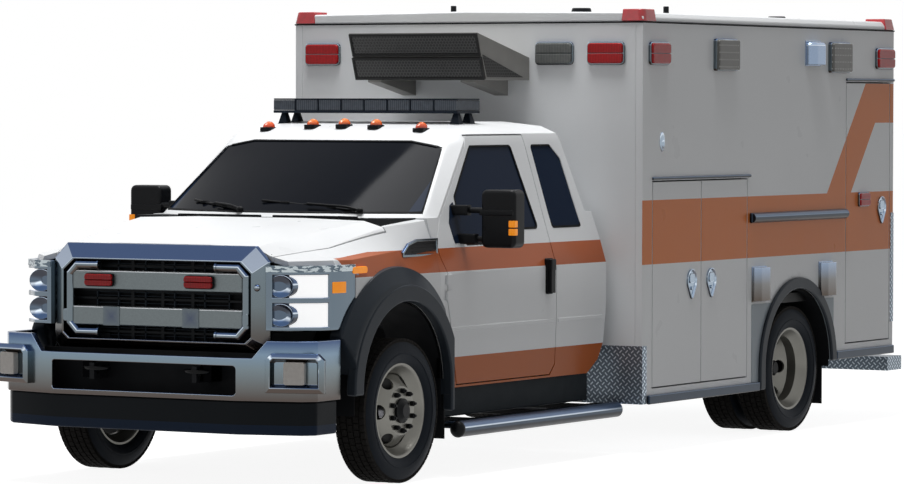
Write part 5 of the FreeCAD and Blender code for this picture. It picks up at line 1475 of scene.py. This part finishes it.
for x in (-0.600, 0.600):
    for y in (bar_y - 0.070, bar_y + 0.070):
        leg = block("leg", (x - 0.040, y - 0.036, 1.975), (x + 0.040, y + 0.036, bar_floor + 0.004))
        stretch(leg, facing_up, (0.35, 0.45, 1), (x, y, bar_floor))
        legs.append(rounded(leg, 0.004, 2))
fit(joined("light_bar_legs", legs), "chassis", "light_bar", bar_tray)
print(heads, "heads and", len(legs), "legs")

# %% [markdown]
# Five amber marker lamps sit on the front edge of the roof. Each is a low drop-shaped dome on a dark
# base: a sphere is squeezed, and its front half is drawn out to a nose.
# %% Roof markers
amber_dome = Finish("amber_dome", Specular_IOR_Level=0.7)
height_share = (amber_dome.axes()[2] - 2.005) * (1 / 0.05)
amber_share = height_share + amber_dome.noise(60.0) * 0.3
amber_dome.use(Base_Color=amber_dome.mix(amber_share, display(214, 66, 4), display(255, 140, 24)),
               Roughness=amber_dome.spread(amber_dome.noise(30.0), 0.1, 0.22))
marker_y = back(1.085)
marker_low, marker_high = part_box("amber_lamps")
dome = ball("dome", (0, marker_y, 2.000), (0.033, 0.045, 0.036), 20, 12)
stretch(dome, lambda middle, aim: middle.y < marker_y - 0.01, (0.8, 1.35, 0.9), (0, marker_y - 0.01, 2.000))
domes, bases = [], []
base = block("base", (-0.036, marker_y - 0.058, 1.975), (0.036, marker_y + 0.048, 2.001))
edged(base, along_z, 0.020, 4)
rounded(base, 0.003, 2)
for x in (-0.530, -0.220, 0.0, 0.220, 0.530):
    drop = Matrix.Translation((x, 0, -0.020 * (abs(x) / 0.53) ** 2 + 0.004))
    domes.append(copied(dome, "dome", drop))
    bases.append(copied(base, "base", drop))
discard(dome, base)
fit(joined("roof_markers", domes), "chassis", "lamp_amber", amber_dome, "amber_lamps")
fit(joined("roof_marker_bases", bases), "chassis", "trim_black", hub_black)
print(len(domes), "roof markers over", round(marker_high.x - marker_low.x, 3), "m")

# %% [markdown]
# Tow mirrors have two glasses in one tall head on two arms, with a pair of amber repeaters at the outer
# front corner. The head is a block whose corners are rolled; its glass faces backwards.
# %% Mirrors
mirror_glass = clouded("mirror_glass", (12.0, 2.0), display(120, 130, 140), display(150, 160, 168),
                       (0.03, 0.08), Metallic=1.0)
shell_black = grained("mirror_shell", display(30, 31, 33), (0.24, 0.36), 300.0, 0.0003, 0.15)


def mirror_parts():
    """The left mirror: head, glasses, ambers and arms, each ready to be copied to the right."""
    head = block("head", (1.105, back(0.778), 1.300), (1.330, back(0.895), 1.635))
    edged(head, along_y, 0.034, 4)
    edged(head, lambda middle, aim: middle.y < back(0.790) and abs(aim.y) < 0.2, 0.022, 4)
    inset(head, facing_back, (0.012, -0.012))
    rounded(head, 0.004, 2, 50)
    band = block("band", (1.098, back(0.772), 1.486), (1.320, back(0.800), 1.520))
    glass_panes = []
    for low, high in ((1.425, 1.610), (1.322, 1.410)):
        pane = block("pane", (1.122, back(0.884), low), (1.312, back(0.890), high))
        edged(pane, along_y, 0.014, 3)
        glass_panes.append(rounded(pane, 0.0015, 1))
    ambers = []
    for low, high in ((1.420, 1.458), (1.374, 1.412)):
        lamp = block("amber", (1.290, back(0.771), low), (1.3325, back(0.812), high))
        edged(lamp, lambda middle, aim: abs(aim.z) > 0.9 and middle.y < back(0.775), 0.010, 3)
        ambers.append(rounded(lamp, 0.003, 2))
    arms = []
    for z, inner in ((1.515, 0.905), (1.350, 0.955)):
        arm = tube("arm", ((inner + 0.05, back(0.788), z), (1.115, back(0.800), z)), 0.017, 0, 4)
        knuckle = block("knuckle", (inner - 0.01, back(0.752), z - 0.030),
                        (inner + 0.125, back(0.806), z + 0.030))
        edged(knuckle, along_x, 0.010, 3)
        arms += [arm, rounded(knuckle, 0.003, 2, 50)]
    shell = joined("mirror_shell", [head, rounded(band, 0.006, 2)] + arms)
    return shell, joined("mirror_panes", glass_panes), joined("mirror_ambers", ambers)


models = mirror_parts()
looks = (("trim_black", shell_black), ("glass", mirror_glass), ("lamp_amber", amber_lens))
for side, matrix in SIDES:
    for model, (slot, finish) in zip(models, looks):
        hidden = (side + "_mirror",) if slot == "trim_black" else ()
        fit(copied(model, side + "_" + model.name, matrix), side + "_cab_door", slot, finish, *hidden)
discard(*models)
print("mirrors on both doors")

# %% [markdown]
# Cab windows sit in black rubber. Each seal is made from the pane itself: the pane's outer face is
# inset a little, only the narrow border is kept, and the border is given thickness.
# %% Window seals
def seal(node, name, aims, width=0.013, lift=0.003):
    """The border of the panes' outward faces, thickened and lifted off the glass."""
    border = merged(node, name)
    outward = [Vector(aim).normalized() for aim in aims]
    pick(border, lambda middle, aim: not any(aim.dot(direction) > 0.7 for direction in outward))
    bpy.ops.mesh.delete(type="FACE")
    bpy.ops.mesh.select_all(action="SELECT")
    bpy.ops.mesh.remove_doubles(threshold=1e-5)
    bpy.ops.mesh.inset(thickness=width, depth=0.0)
    bpy.ops.mesh.delete(type="FACE")
    done()
    thickened(border, 2 * lift, 1)
    clear_selection()
    border.select_set(True)
    smooth(30)
    return border


for side, sign in SIGNS:
    side_seal = seal(side + "_door_glass", side + "_window_seal", [(sign, 0, 0.3)])
    fit(side_seal, side + "_cab_door", "trim_black", rubber)
cab_seals = seal("cab_glass", "cab_window_seals", [(0, -1, 0.6), (1, 0, 0.25), (-1, 0, 0.25), (0, 1, 0.1)])
fit(cab_seals, "chassis", "trim_black", rubber)
print("seals", len(cab_seals.data.polygons), "faces on the cab")

# %% [markdown]
# Two wipers park low across the windscreen. Each has an arm that bends once and a blade of thin links
# lying on the glass. The blade is straight, so its ends are lifted to the screen's slope by place.
# %% Wipers
def on_screen(x, z, off=0.012):
    """A point this far off the windscreen, found by a straight line from in front of it."""
    found, place, aim, index = nodes["cab_glass"].ray_cast((x, back(-2.0), z), (0, 1, 0))
    return place + aim * off


wiper_parts = []
blade_low = 1.506
for pivot_x, tip_x, tip_z in ((0.564, -0.079, 1.556), (-0.175, -0.627, 1.550)):
    start, end = on_screen(pivot_x - 0.03, blade_low), on_screen(tip_x, tip_z)
    blade = [start.lerp(end, share / 4) for share in range(5)]
    wiper_parts.append(tube("blade", blade, 0.007))
    elbow = on_screen(pivot_x - 0.08, 1.512, 0.030)
    half_way = on_screen((pivot_x + tip_x) / 2, (blade_low + tip_z) / 2, 0.024)
    base = on_screen(pivot_x, 1.500, 0.020)
    wiper_parts.append(tube("arm", (base, elbow, half_way), 0.008, 0.02))
    for share in (0.25, 0.5, 0.75):
        place = start.lerp(end, share)
        link = block("link", place - Vector((0.030, 0.010, 0.006)), place + Vector((0.030, 0.004, 0.010)))
        wiper_parts.append(rounded(link, 0.003, 1))
    wiper_parts.append(ball("boss", base, (0.022, 0.018, 0.016)))
fit(joined("wipers", wiper_parts), "chassis", "trim_black", hub_black)
print(len(wiper_parts), "wiper parts")

# %% [markdown]
# The cab doors have tall black grab handles in a shallow well. A rounded plate stands for the well, and the
# handle is a bar with a thicker cap over its upper third.
# %% Cab door handles
def skin_x(y, z, *names):
    """How far out the cab's left side stands at this place."""
    bpy.context.view_layer.update()
    hits = [bpy.data.objects[name].ray_cast((2.0, y, z), (-1, 0, 0)) for name in names]
    return max((place.x for found, place, aim, index in hits if found), default=1.0)


handle_x, handle_out = 1.022, 1.071
plate = block("plate", (handle_x, back(1.690), 0.998), (1.046, back(1.757), 1.212))
edged(plate, along_x, 0.014, 3)
grip = block("grip", (handle_x, back(1.697), 1.005), (handle_out - 0.003, back(1.749), 1.205))
inset(grip, facing_out, (0.004, 0.0))
cap = block("cap", (handle_x, back(1.694), 1.138), (handle_out, back(1.753), 1.207))
handle = joined("cab_handle", [rounded(plate, 0.002), rounded(grip, 0.007, 3), rounded(cap, 0.008, 3)])
both(handle, "{}_cab_handle", "{}_cab_door", "trim_black", hub_black)
print("cab handles placed")

# %% [markdown]
# Above the front wheel arch each wing has a plated air vent shaped like a long drop, dark inside, and a
# small amber side marker further forward. The vent's outline is walked, filled and extruded, then inset.
# %% Wing vents and side markers
vent_x = skin_x(back(0.30), 1.30, "fenders", "cab_body") - 0.004
vent_corners = ((0.095, 1.262), (0.482, 1.262), (0.482, 1.362), (0.250, 1.361), (0.152, 1.338),
                (0.095, 1.290))
vent_outline = [(vent_x, back(y), z) for y, z in vent_corners]
vent_frame = plate_of("vent", vent_outline, (0.016, 0, 0))
inset(vent_frame, facing_out, (0.014, 0.0), (0.002, -0.010), cut=True)
rounded(vent_frame, 0.003, 2)
vent_dark = plate_of("vent_inside", vent_outline, (0.010, 0, 0))
stretch(vent_dark, everything, (1, 0.94, 0.86), (vent_x, back(0.29), 1.312))
slats = [vent_dark]
for number in range(3):
    z = 1.290 + number * 0.020
    slat = block("slat", (vent_x, back(0.200), z - 0.002), (vent_x + 0.013, back(0.460), z + 0.002))
    slats.append(rounded(slat, 0.001, 1))
vent_dark = joined("vent_inside", slats)
marker_x = skin_x(back(-0.42), 1.217, "fenders")
marker = block("marker", (marker_x - 0.012, back(-0.500), 1.190), (marker_x + 0.014, back(-0.345), 1.228))
edged(marker, along_x, 0.014, 3)
rounded(marker, 0.004, 2)
both(vent_frame, "{}_wing_vent", "chassis", "chrome", chrome)
both(vent_dark, "{}_wing_vent_inside", "chassis", "trim_black", hub_black)
both(marker, "{}_side_marker", "chassis", "lamp_amber", amber_lens)
print("wing vents and markers placed")

# %% [markdown]
# Steps under the cab doors are round plated tubes with a flat tread on top and a black plug in the front
# end. A tube is drawn along the sill; the tread is a slim block with raised ribs across it.
# %% Steps
step_blue = plated("step_plating", display(92, 108, 134), display(62, 72, 84), display(34, 36, 40), 0.28)
step_front, step_rear = back(0.530), back(2.485)
step_x, step_z = 1.085, 0.268
bracket_places = (0.900, 1.700, 2.300)
tube_piece = rod("step_tube", (step_x, step_front + 0.03, step_z), (step_x, step_rear, step_z), 0.046, 40)
raised(tube_piece, facing_back, 0.012, (0, 0.014, 0))
smooth(35)
deck = block("deck", (0.968, step_front + 0.05, step_z), (step_x + 0.010, step_rear - 0.02, step_z + 0.040))
rounded(deck, 0.012, 3)
ribs = []
for number in range(36):
    y = step_front + 0.10 + number * 0.050
    ribs.append(block("rib", (0.985, y, 0.306), (1.075, y + 0.022, 0.3125)))
tread_strip = joined("step_ribs", ribs)
plug = ball("plug", (step_x, step_front + 0.028, step_z), (0.048, 0.038, 0.048))
bracket_low, bracket_wide = step_z + 0.004, 0.060
brackets = []
for name, x_low, x_high, z_high in (("bracket", 0.470, 1.000, 0.306), ("drop", 0.458, 0.482, 0.700)):
    for y in bracket_places:
        bracket = block(name, (x_low, back(y), bracket_low), (x_high, back(y) + bracket_wide, z_high))
        brackets.append(rounded(bracket, 0.003))
step_model = joined("step", [tube_piece, deck])
dark_model = joined("step_dark", [plug, tread_strip] + brackets)
for side, matrix in SIDES:
    hidden = ("running_boards",) if side == "left" else ()
    fit(copied(step_model, side + "_step", matrix), "chassis", "trim_black", step_blue, *hidden)
    fit(copied(dark_model, side + "_step_fittings", matrix), "chassis", "trim_black", hub_black)
discard(step_model, dark_model)
print("steps from", round(step_front, 3), "to", round(step_rear, 3))

# %% [markdown]
# A plain black sill panel closes the side between the doors and the step, so that the chassis doesn't show.
# %% Sill panels
sill_model = block("sill", (0.950, back(0.560), 0.330), (0.978, back(2.310), 0.512))
edged(sill_model, lambda middle, aim: abs(aim.y) > 0.9 and middle.x > 0.97, 0.012, 3)
rounded(sill_model, 0.003, 2, 50)
sill_finish = grained("sill_plastic", display(30, 34, 37), (0.6, 0.75), 260.0, 0.0004)
both(sill_model, "{}_sill_panel", "chassis", "trim_black", sill_finish)
print("sill panels placed")

# %% [markdown]
# A paddle latch is a pressed bright dish with a folding paddle in it, oval above and drawn to a point
# below. The dish starts as a disc; its lower half is stretched and narrowed, and then it is inset and sunk.
# %% Paddle latches
def paddle_latch(name):
    """Faces +X, with its plate on x = 0."""
    clear_selection()
    bpy.ops.mesh.primitive_circle_add(vertices=40, radius=0.062, fill_type="NGON",
                                      rotation=(0, math.pi / 2, 0))
    dish = settle(name)
    open_all("VERT")
    bpy.ops.transform.resize(value=(1, 1, 1.16), center_override=(0, 0, 0))
    done()
    for corner in dish.data.vertices:
        narrow = max(0.0, (-0.052 - corner.co.z) / 0.020)
        corner.co.z += 0.026 - narrow * 0.040
        corner.co.y *= 1 - 0.30 * narrow
    pick(dish, everything)
    bpy.ops.mesh.extrude_region_move(TRANSFORM_OT_translate={"value": (0.011, 0, 0)})
    bpy.ops.mesh.inset(thickness=0.005, depth=0.002)
    bpy.ops.mesh.inset(thickness=0.007, depth=-0.010)
    close_whole(doubles=False)
    rounded(dish, 0.0015, 2, 40)
    paddle = block("paddle", (0.002, -0.034, 0.012), (0.012, 0.034, 0.072))
    edged(paddle, along_x, 0.018, 4)
    inset(paddle, facing_out, (0.005, -0.003))
    rounded(paddle, 0.002, 2)
    key = rounded(rod("key", (0.002, 0, -0.020), (0.012, 0, -0.020), 0.011, 20), 0.0015, 2)
    return joined(name, [dish, paddle, key])


latch_chrome = plated("latch_plating", display(150, 166, 186), display(150, 164, 178), display(96, 98, 104),
                      0.12)
latches = {"left_front_locker_door": (3.173, 1.006, 1), "left_centre_locker_door": (3.442, 1.006, 1),
           "left_rear_locker_door": (5.994, 1.410, 1), "right_rear_locker_door": (5.994, 1.410, -1),
           "right_entry_door": (3.470, 1.300, -1)}
latch_model = paddle_latch("latch_model")
for node, (distance, z, sign) in latches.items():
    turn = 0 if sign > 0 else math.pi
    place = Matrix.Translation((sign * module_half, back(distance), z)) @ Matrix.Rotation(turn, 4, "Z")
    fit(copied(latch_model, node + "_latch", place), node, "chrome", latch_chrome)
for side, sign in SIGNS:
    place = Matrix.Translation((sign * 0.088, module_rear, 1.340)) @ Matrix.Rotation(math.pi / 2, 4, "Z")
    fit(copied(latch_model, "rear_%s_latch" % side, place), "rear_%s_door" % side, "chrome", latch_chrome)
discard(latch_model)
print(len(latches) + 2, "latches")

# %% [markdown]
# The tall doors carry a small red lamp each, which turns with the door.
# %% Door lamps
door_lamp_size = (0.165, 0.095, 0.025, 0.014, 2, 0.005)
for side, sign in SIGNS:
    hang_lamp(side + "_door_lamp", door_lamp_size, (sign * module_half, back(5.7025), 1.4925),
              0 if sign > 0 else 180, side + "_rear_locker_door", "lamp_red", red_lens)
print("door lamps placed")

# %% [markdown]
# Bright scoops stand on the side wall: a tall pair beside the rear wheel, which are lamp and filler housings,
# and a shorter dome above. Each is a block whose outer upright edges are rolled round, so it catches a
# long upright highlight.
# %% Wall housings
# The housings' tint by height is painted reflection: warm and dark low down, light blue-grey high up.
housing_reflection_levels = ((0.87, display(84, 76, 70)), (0.98, display(108, 108, 108)),
                  (1.09, display(134, 150, 172)))
housing_chrome = plated("housing_plating", display(150, 166, 190), display(120, 124, 128),
                        display(70, 66, 64), 0.16, housing_reflection_levels)


def housing(name, y_low, y_high, z_low, z_high, out, top_round):
    piece = block(name, (module_half - 0.001, back(y_low), z_low), (module_half + out, back(y_high), z_high))
    edged(piece, lambda middle, aim: abs(aim.z) > 0.9 and middle.x > module_half + out - 0.001, out * 0.88, 8)
    if top_round:
        edged(piece, lambda middle, aim: middle.z > z_high - 0.001 and abs(aim.z) < 0.1
              and middle.x > module_half + 0.002, out * 0.5, 6)
    rim = block("rim", (module_half - 0.001, back(y_low) - 0.005, z_low - 0.006),
                (module_half + 0.006, back(y_high) + 0.005, z_high + 0.006))
    return joined(name, [rounded(piece, 0.004, 2, 60), rounded(rim, 0.002)])


housings = [housing("front_housing", 4.026, 4.226, 0.872, 1.087, 0.052, False),
            housing("rear_housing", 5.018, 5.218, 0.871, 1.090, 0.052, False),
            housing("upper_dome", 4.803, 5.020, 2.385, 2.538, 0.066, True)]
for model in housings:
    for side, matrix in SIDES:
        fit(copied(model, "%s_%s" % (side, model.name), matrix), "chassis", "chrome", housing_chrome)
discard(*housings)
print(len(housings) * len(SIDES), "wall housings")

# %% [markdown]
# An oval bright fitting on the side wall near the front covers the shore power socket: a low dome with
# a smaller one for its flap.
# %% Socket cover
cover = ball("cover", (module_half, back(2.776), 1.897), (0.010, 0.034, 0.061), 28, 14)
flap = ball("flap", (module_half + 0.004, back(2.776), 1.885), (0.012, 0.020, 0.034), 24, 12)
fit(joined("socket_cover", [cover, flap]), "chassis", "chrome", latch_chrome)
print("socket cover placed")

# %% [markdown]
# A smooth grey panel frames the rear wheel arch, and a black tube runs along the wall as a guard rail.
# %% Arch panel and guard rail
panel_grey = gloss_paint("arch_panel_paint", None, display(150, 160, 168))
arch_y, arch_z, arch_radius = back(4.690), 0.430, 0.5005
cut_in, cut_out = module_half - 0.1, module_half + 0.1
panel = block("arch_panel", (module_half - 0.001, back(4.022), 0.312),
              (module_half + 0.004, back(5.242), 0.852))
cutters = [rod("cutter", (cut_in, arch_y, arch_z), (cut_out, arch_y, arch_z), arch_radius, round_sides),
           block("cut_low", (cut_in, arch_y - arch_radius, -0.2), (cut_out, arch_y + arch_radius, arch_z)),
           block("cut_tail", (cut_in, back(5.020), -0.2), (cut_out, back(5.40), 0.4405))]
for cutter in cutters:
    modified(panel, "BOOLEAN", operation="DIFFERENCE", object=cutter)
discard(*cutters)
rail_x, rail_z = module_half + 0.012, 1.404
for side, matrix in SIDES:
    fit(copied(panel, side + "_arch_panel", matrix), "chassis", "white_paint", panel_grey)
    rail = tube("guard_rail", ((rail_x, back(3.995), rail_z), (rail_x, back(5.400), rail_z)), 0.031, 0, 5)
    if side == "right":
        rail.data.transform(MIRROR)
        rail.data.flip_normals()
    fit(rail, "chassis", "trim_black", dark_chrome)
    rail.name = side + "_guard_rail"
discard(panel)
print("arch panels and rails placed")

# %% [markdown]
# Red clearance lamps cap the four top corners of the body. Each is a wedge: a block whose upper face is
# drawn in towards the roof, with its outer corner rolled.
# %% Corner clearance lamps
corner_red = clouded("corner_red", (26.0, 2.0), display(150, 10, 24), display(198, 24, 40), (0.1, 0.2),
                     Specular_IOR_Level=0.7)


def outer_corner(middle, aim):
    """The wedge's upright edge at the front left corner of the body."""
    return abs(aim.z) > 0.5 and middle.x > module_half - 0.05 and middle.y < module_front + 0.05


wedge_top = 2.706
wedge = block("wedge", (module_half - 0.145, module_front - 0.012, 2.632),
              (module_half + 0.012, module_front + 0.155, wedge_top))
stretch(wedge, facing_up, (0.9, 0.9, 1), (module_half - 0.120, module_front + 0.130, wedge_top))
edged(wedge, outer_corner, 0.040, 5)
rounded(wedge, 0.006, 3, 40)
back_flip = Matrix.Translation((0, module_front + module_rear, 0)) @ Matrix.Scale(-1, 4, (0, 1, 0))
wedges = {"front_left": Matrix(), "front_right": MIRROR, "rear_left": back_flip,
          "rear_right": back_flip @ MIRROR}
for corner_name, matrix in wedges.items():
    fit(copied(wedge, corner_name + "_corner_lamp", matrix), "chassis", "lamp_red", corner_red)
discard(wedge)
print(len(wedges), "corner lamps")

# %% [markdown]
# The roof cap ends in a dark joint line where it meets the walls, and carries two stub aerials and two
# low round ones.
# %% Roof joint and aerials
joint_x, joint_z = module_half + 0.002, 2.626
joint_front, joint_rear = module_front - 0.002, module_rear + 0.002
joint_corners = ((-joint_x, joint_front, joint_z), (joint_x, joint_front, joint_z),
                 (joint_x, joint_rear, joint_z), (-joint_x, joint_rear, joint_z),
                 (-joint_x, joint_front, joint_z))
fit(tube("roof_joint", joint_corners, 0.0045, 0, 2), "chassis", "trim_black", rubber)
aerials = []
stub_places, puck_places = ((-0.305, 2.900), (0.850, 3.585)), ((0.640, 2.850), (0.600, 5.700))
for x, y in stub_places:
    stub = rod("stub", (x, back(y), 2.670), (x, back(y), 2.745), 0.018, 20)
    foot = rod("foot", (x, back(y), 2.668), (x, back(y), 2.702), 0.030, 24)
    aerials += [rounded(stub, 0.004, 2), rounded(foot, 0.005, 2)]
for x, y in puck_places:
    puck = rod("puck", (x, back(y), 2.668), (x, back(y), 2.722), 0.070, 36)
    stretch(puck, facing_up, (0.82, 0.82, 1), (x, back(y), 2.722))
    aerials.append(rounded(puck, 0.006, 3))
fit(joined("roof_aerials", aerials), "chassis", "trim_black", black_trim)
print(len(stub_places) + len(puck_places), "aerials")

# %% [markdown]
# The roof-height condenser is a sheet-metal case with perforated grilles: two across the front, one above
# the other, and one in each cheek. The holes are too many to model, so they are drawn as a staggered
# pattern in the finish. The frames round them are real.
# %% Condenser
def perforated(name, first_axis, scale=0.0215):
    """Dark round holes in a staggered grid on two object axes."""
    finish = Finish(name)
    row_share = 0.866
    x, y, z = finish.axes()
    across = x if first_axis == "x" else y
    up = z * 1.02 + (y * -0.20 if first_axis == "x" else 0.0)
    rows = up * (1 / (scale * row_share))
    stagger = rows.math("FLOOR").math("MODULO", 2.0).math("ABSOLUTE") * 0.5
    u = (across * (1 / scale) + stagger).math("FRACT") - 0.5
    v = (rows.math("FRACT") - 0.5) * row_share
    holes = (u * u + v * v) < 0.14
    grime = finish.noise(8.0, 3.0)
    sheet = finish.mix(grime, display(56, 56, 56), display(72, 72, 71))
    finish.use(Base_Color=finish.mix(holes, sheet, display(12, 12, 13)),
               Roughness=finish.spread(grime, 0.4, 0.6), Normal=finish.bump(1 - holes, 0.6, 0.002))
    return finish


top_point, low_point = Vector((0, back(1.875), 2.557)), Vector((0, back(1.975), 2.273))
down = (low_point - top_point).normalized()
fit(softened("air_conditioner", "condenser_case", 0.004, 2), "chassis", "unit", unit_paint, "air_conditioner")
panel_dark = grained("condenser_frame", display(50, 50, 50), (0.4, 0.55), 200.0, 0.0004)
front_holes = perforated("condenser_front_mesh", "x")
cheek_holes = perforated("condenser_cheek_mesh", "y")
slope_length = (low_point - top_point).length
frames, meshes = [], []
border = 0.014
for share_low, share_high, proud, half in ((0.015, 0.485, 0.010, 0.452), (0.515, 0.985, 0.016, 0.456)):
    start = top_point + down * slope_length * share_low
    end = top_point + down * slope_length * share_high
    middle = (start + end) / 2
    tall = (end - start).length
    turn = Matrix.Translation(middle) @ Matrix.Rotation(math.atan2(down.y, -down.z), 4, "X")
    plate = block("plate", (-half, -proud, -tall / 2), (half, 0.004, tall / 2))
    inset(plate, facing_front, (border, 0.0), (0.002, -0.006), cut=True)
    sheet = block("sheet", (border - half, 0.005 - proud, border - tall / 2),
                  (half - border, 0.009 - proud, tall / 2 - border))
    for item in (plate, sheet):
        item.data.transform(turn)
    frames.append(plate)
    meshes.append(sheet)
fit(joined("condenser_frames", frames), "chassis", "unit", panel_dark)
fit(joined("condenser_front_mesh", meshes), "chassis", "unit", front_holes)
cheeks = []
cheek_x, cheek_corners = 0.4555, ((1.990, 2.290), (2.440, 2.290), (1.935, 2.425))
for sign in (-1, 1):
    outline = [(sign * cheek_x, back(y), z) for y, z in cheek_corners]
    cheeks.append(plate_of("cheek", outline, (sign * 0.003, 0, 0)))
fit(joined("condenser_cheek_mesh", cheeks), "chassis", "unit", cheek_holes)
print("condenser slope", round(slope_length, 3), "m")

# %% [markdown]
# A wheel-arch flare on this cab is a broad moulding: beyond the lip it sweeps up over the wing in one
# sloping face. The sweep is a ring turned about the axle, then cut off behind at the door's shut line
# and below at bumper height. Behind each arch a black liner keeps spray out of the body.
# %% Flare sweeps and arch liners
sweep_section = [(0.960, 0.520), (1.082, 0.520), (1.088, 0.560), (1.078, 0.585), (1.052, 0.640),
                 (1.040, 0.668), (1.018, 0.672), (0.960, 0.672), (0.960, 0.520)]
sweep = turned("flare_sweep", (0, back(-0.035), 0.545), sweep_section, round_sides)
sweep = shaved(sweep, (0, back(0.488), 0), (0, 1, 0))
sweep = shaved(sweep, (0, 0, 0.470), (0, 0, -1))
sweep = shaved(sweep, (0, back(-0.640), 0.850), (0, -0.8, -0.35))
both(sweep, "{}_flare_sweep", "chassis", "flare", satin_trim)
liners = []
liner_gauge = 0.003
for axle, centre_z, radius, inner_x, outer_x in ((0.0, 0.540, 0.474, 0.700, 1.020),
                                                 (4.690, 0.430, 0.494, 0.640, 1.240)):
    lower = radius - liner_gauge
    skin = [(inner_x, lower), (outer_x, lower), (outer_x, radius), (inner_x, radius)]
    liner = turned("liner", (0, back(axle), centre_z), skin + [skin[0]], round_sides)
    liner = shaved(liner, (0, 0, centre_z), (0, 0, -1))
    legs = [block("leg", (inner_x, back(axle) + sign * lower, 0.400),
                  (outer_x, back(axle) + sign * radius, centre_z)) for sign in (-1, 1)]
    liners += [liner] + legs
both(joined("arch_liners", liners), "{}_arch_liners", "chassis", "trim_black", rubber)
print("sweeps and liners placed")

# %% [markdown]
# A pressed crease runs along the cab side at half height. It is a low rounded rib, laid on the door and
# carried on behind it on the cab. The mirror arms leave the door from a black corner panel ahead of the
# glass, whose lean is measured from two points of the door.
# %% Side crease and mirror corner panels
crease_z, crease_half, crease_proud = 0.838, 0.012, 0.005


def crease(start, end, probe, skin):
    """A rib from one distance to another, as far out as the skin is at the probed distance."""
    out = skin_x(back(probe), crease_z, skin) + crease_proud
    rib = block("crease", (1.020, back(start), crease_z - crease_half),
                (out, back(end), crease_z + crease_half))
    return rounded(rib, 0.004, 3)


door_crease = crease(0.520, 1.800, 1.0, "left_door_skin")
cab_crease = crease(1.845, 2.400, 2.1, "cab_body")
corner_low, corner_high = 1.325, 1.480
low_x, high_x = [skin_x(back(0.880), z, "left_door_skin", nodes["left_door_glass"].name)
                 for z in (corner_low, corner_high)]
corner_lean = (high_x - low_x) / (corner_high - corner_low)
corner_outline = ((0.790, 1.560), (0.745, 1.540), (0.690, 1.440), (0.700, corner_low), (0.870, corner_low),
                  (0.815, corner_high))
corner_points = [(low_x + corner_lean * (z - corner_low) + 0.001, back(y), z) for y, z in corner_outline]
corner_panel = rounded(plate_of("corner_panel", corner_points, (0.006, 0, 0)), 0.002)
both(door_crease, "{}_door_crease", "{}_cab_door", "body_paint", cab_paint)
both(cab_crease, "{}_cab_crease", "chassis", "body_paint", cab_paint)
both(corner_panel, "{}_mirror_corner", "{}_cab_door", "glass", glass)
print("creases and corner panels placed")

# %% [markdown]
# The back can't be seen in the picture, so it is fitted out as such bodies usually are: tread-plate
# angles on the two rear corners and grab rails on the doors.
# %% Rear corners and grab rails
corner_guard = block("corner_guard", (module_half - 0.060, module_rear - 0.044, 0.655),
                     (module_half + 0.004, module_rear + 0.004, 1.395))
rounded(corner_guard, 0.002, 2)
grab_x, grab_low, grab_high = 0.600, 1.250, 1.730
near_y, far_y = module_rear + 0.016, module_rear + 0.062
grab = tube("grab", ((grab_x, near_y, grab_low), (grab_x, far_y, grab_low + 0.040),
                     (grab_x, far_y, grab_high - 0.040), (grab_x, near_y, grab_high)), 0.014, 0.03, 4)
feet = []
for z in (grab_low, grab_high):
    foot = rod("foot", (grab_x, near_y - 0.002, z), (grab_x, near_y + 0.008, z), 0.030, 24)
    feet.append(rounded(foot, 0.003))
grab = joined("grab_rail", [grab] + feet)
both(corner_guard, "{}_corner_guard", "chassis", "tread_plate", wall_plate)
both(grab, "{}_grab_rail", "rear_{}_door", "chrome", latch_chrome)
print("rear fitted out")
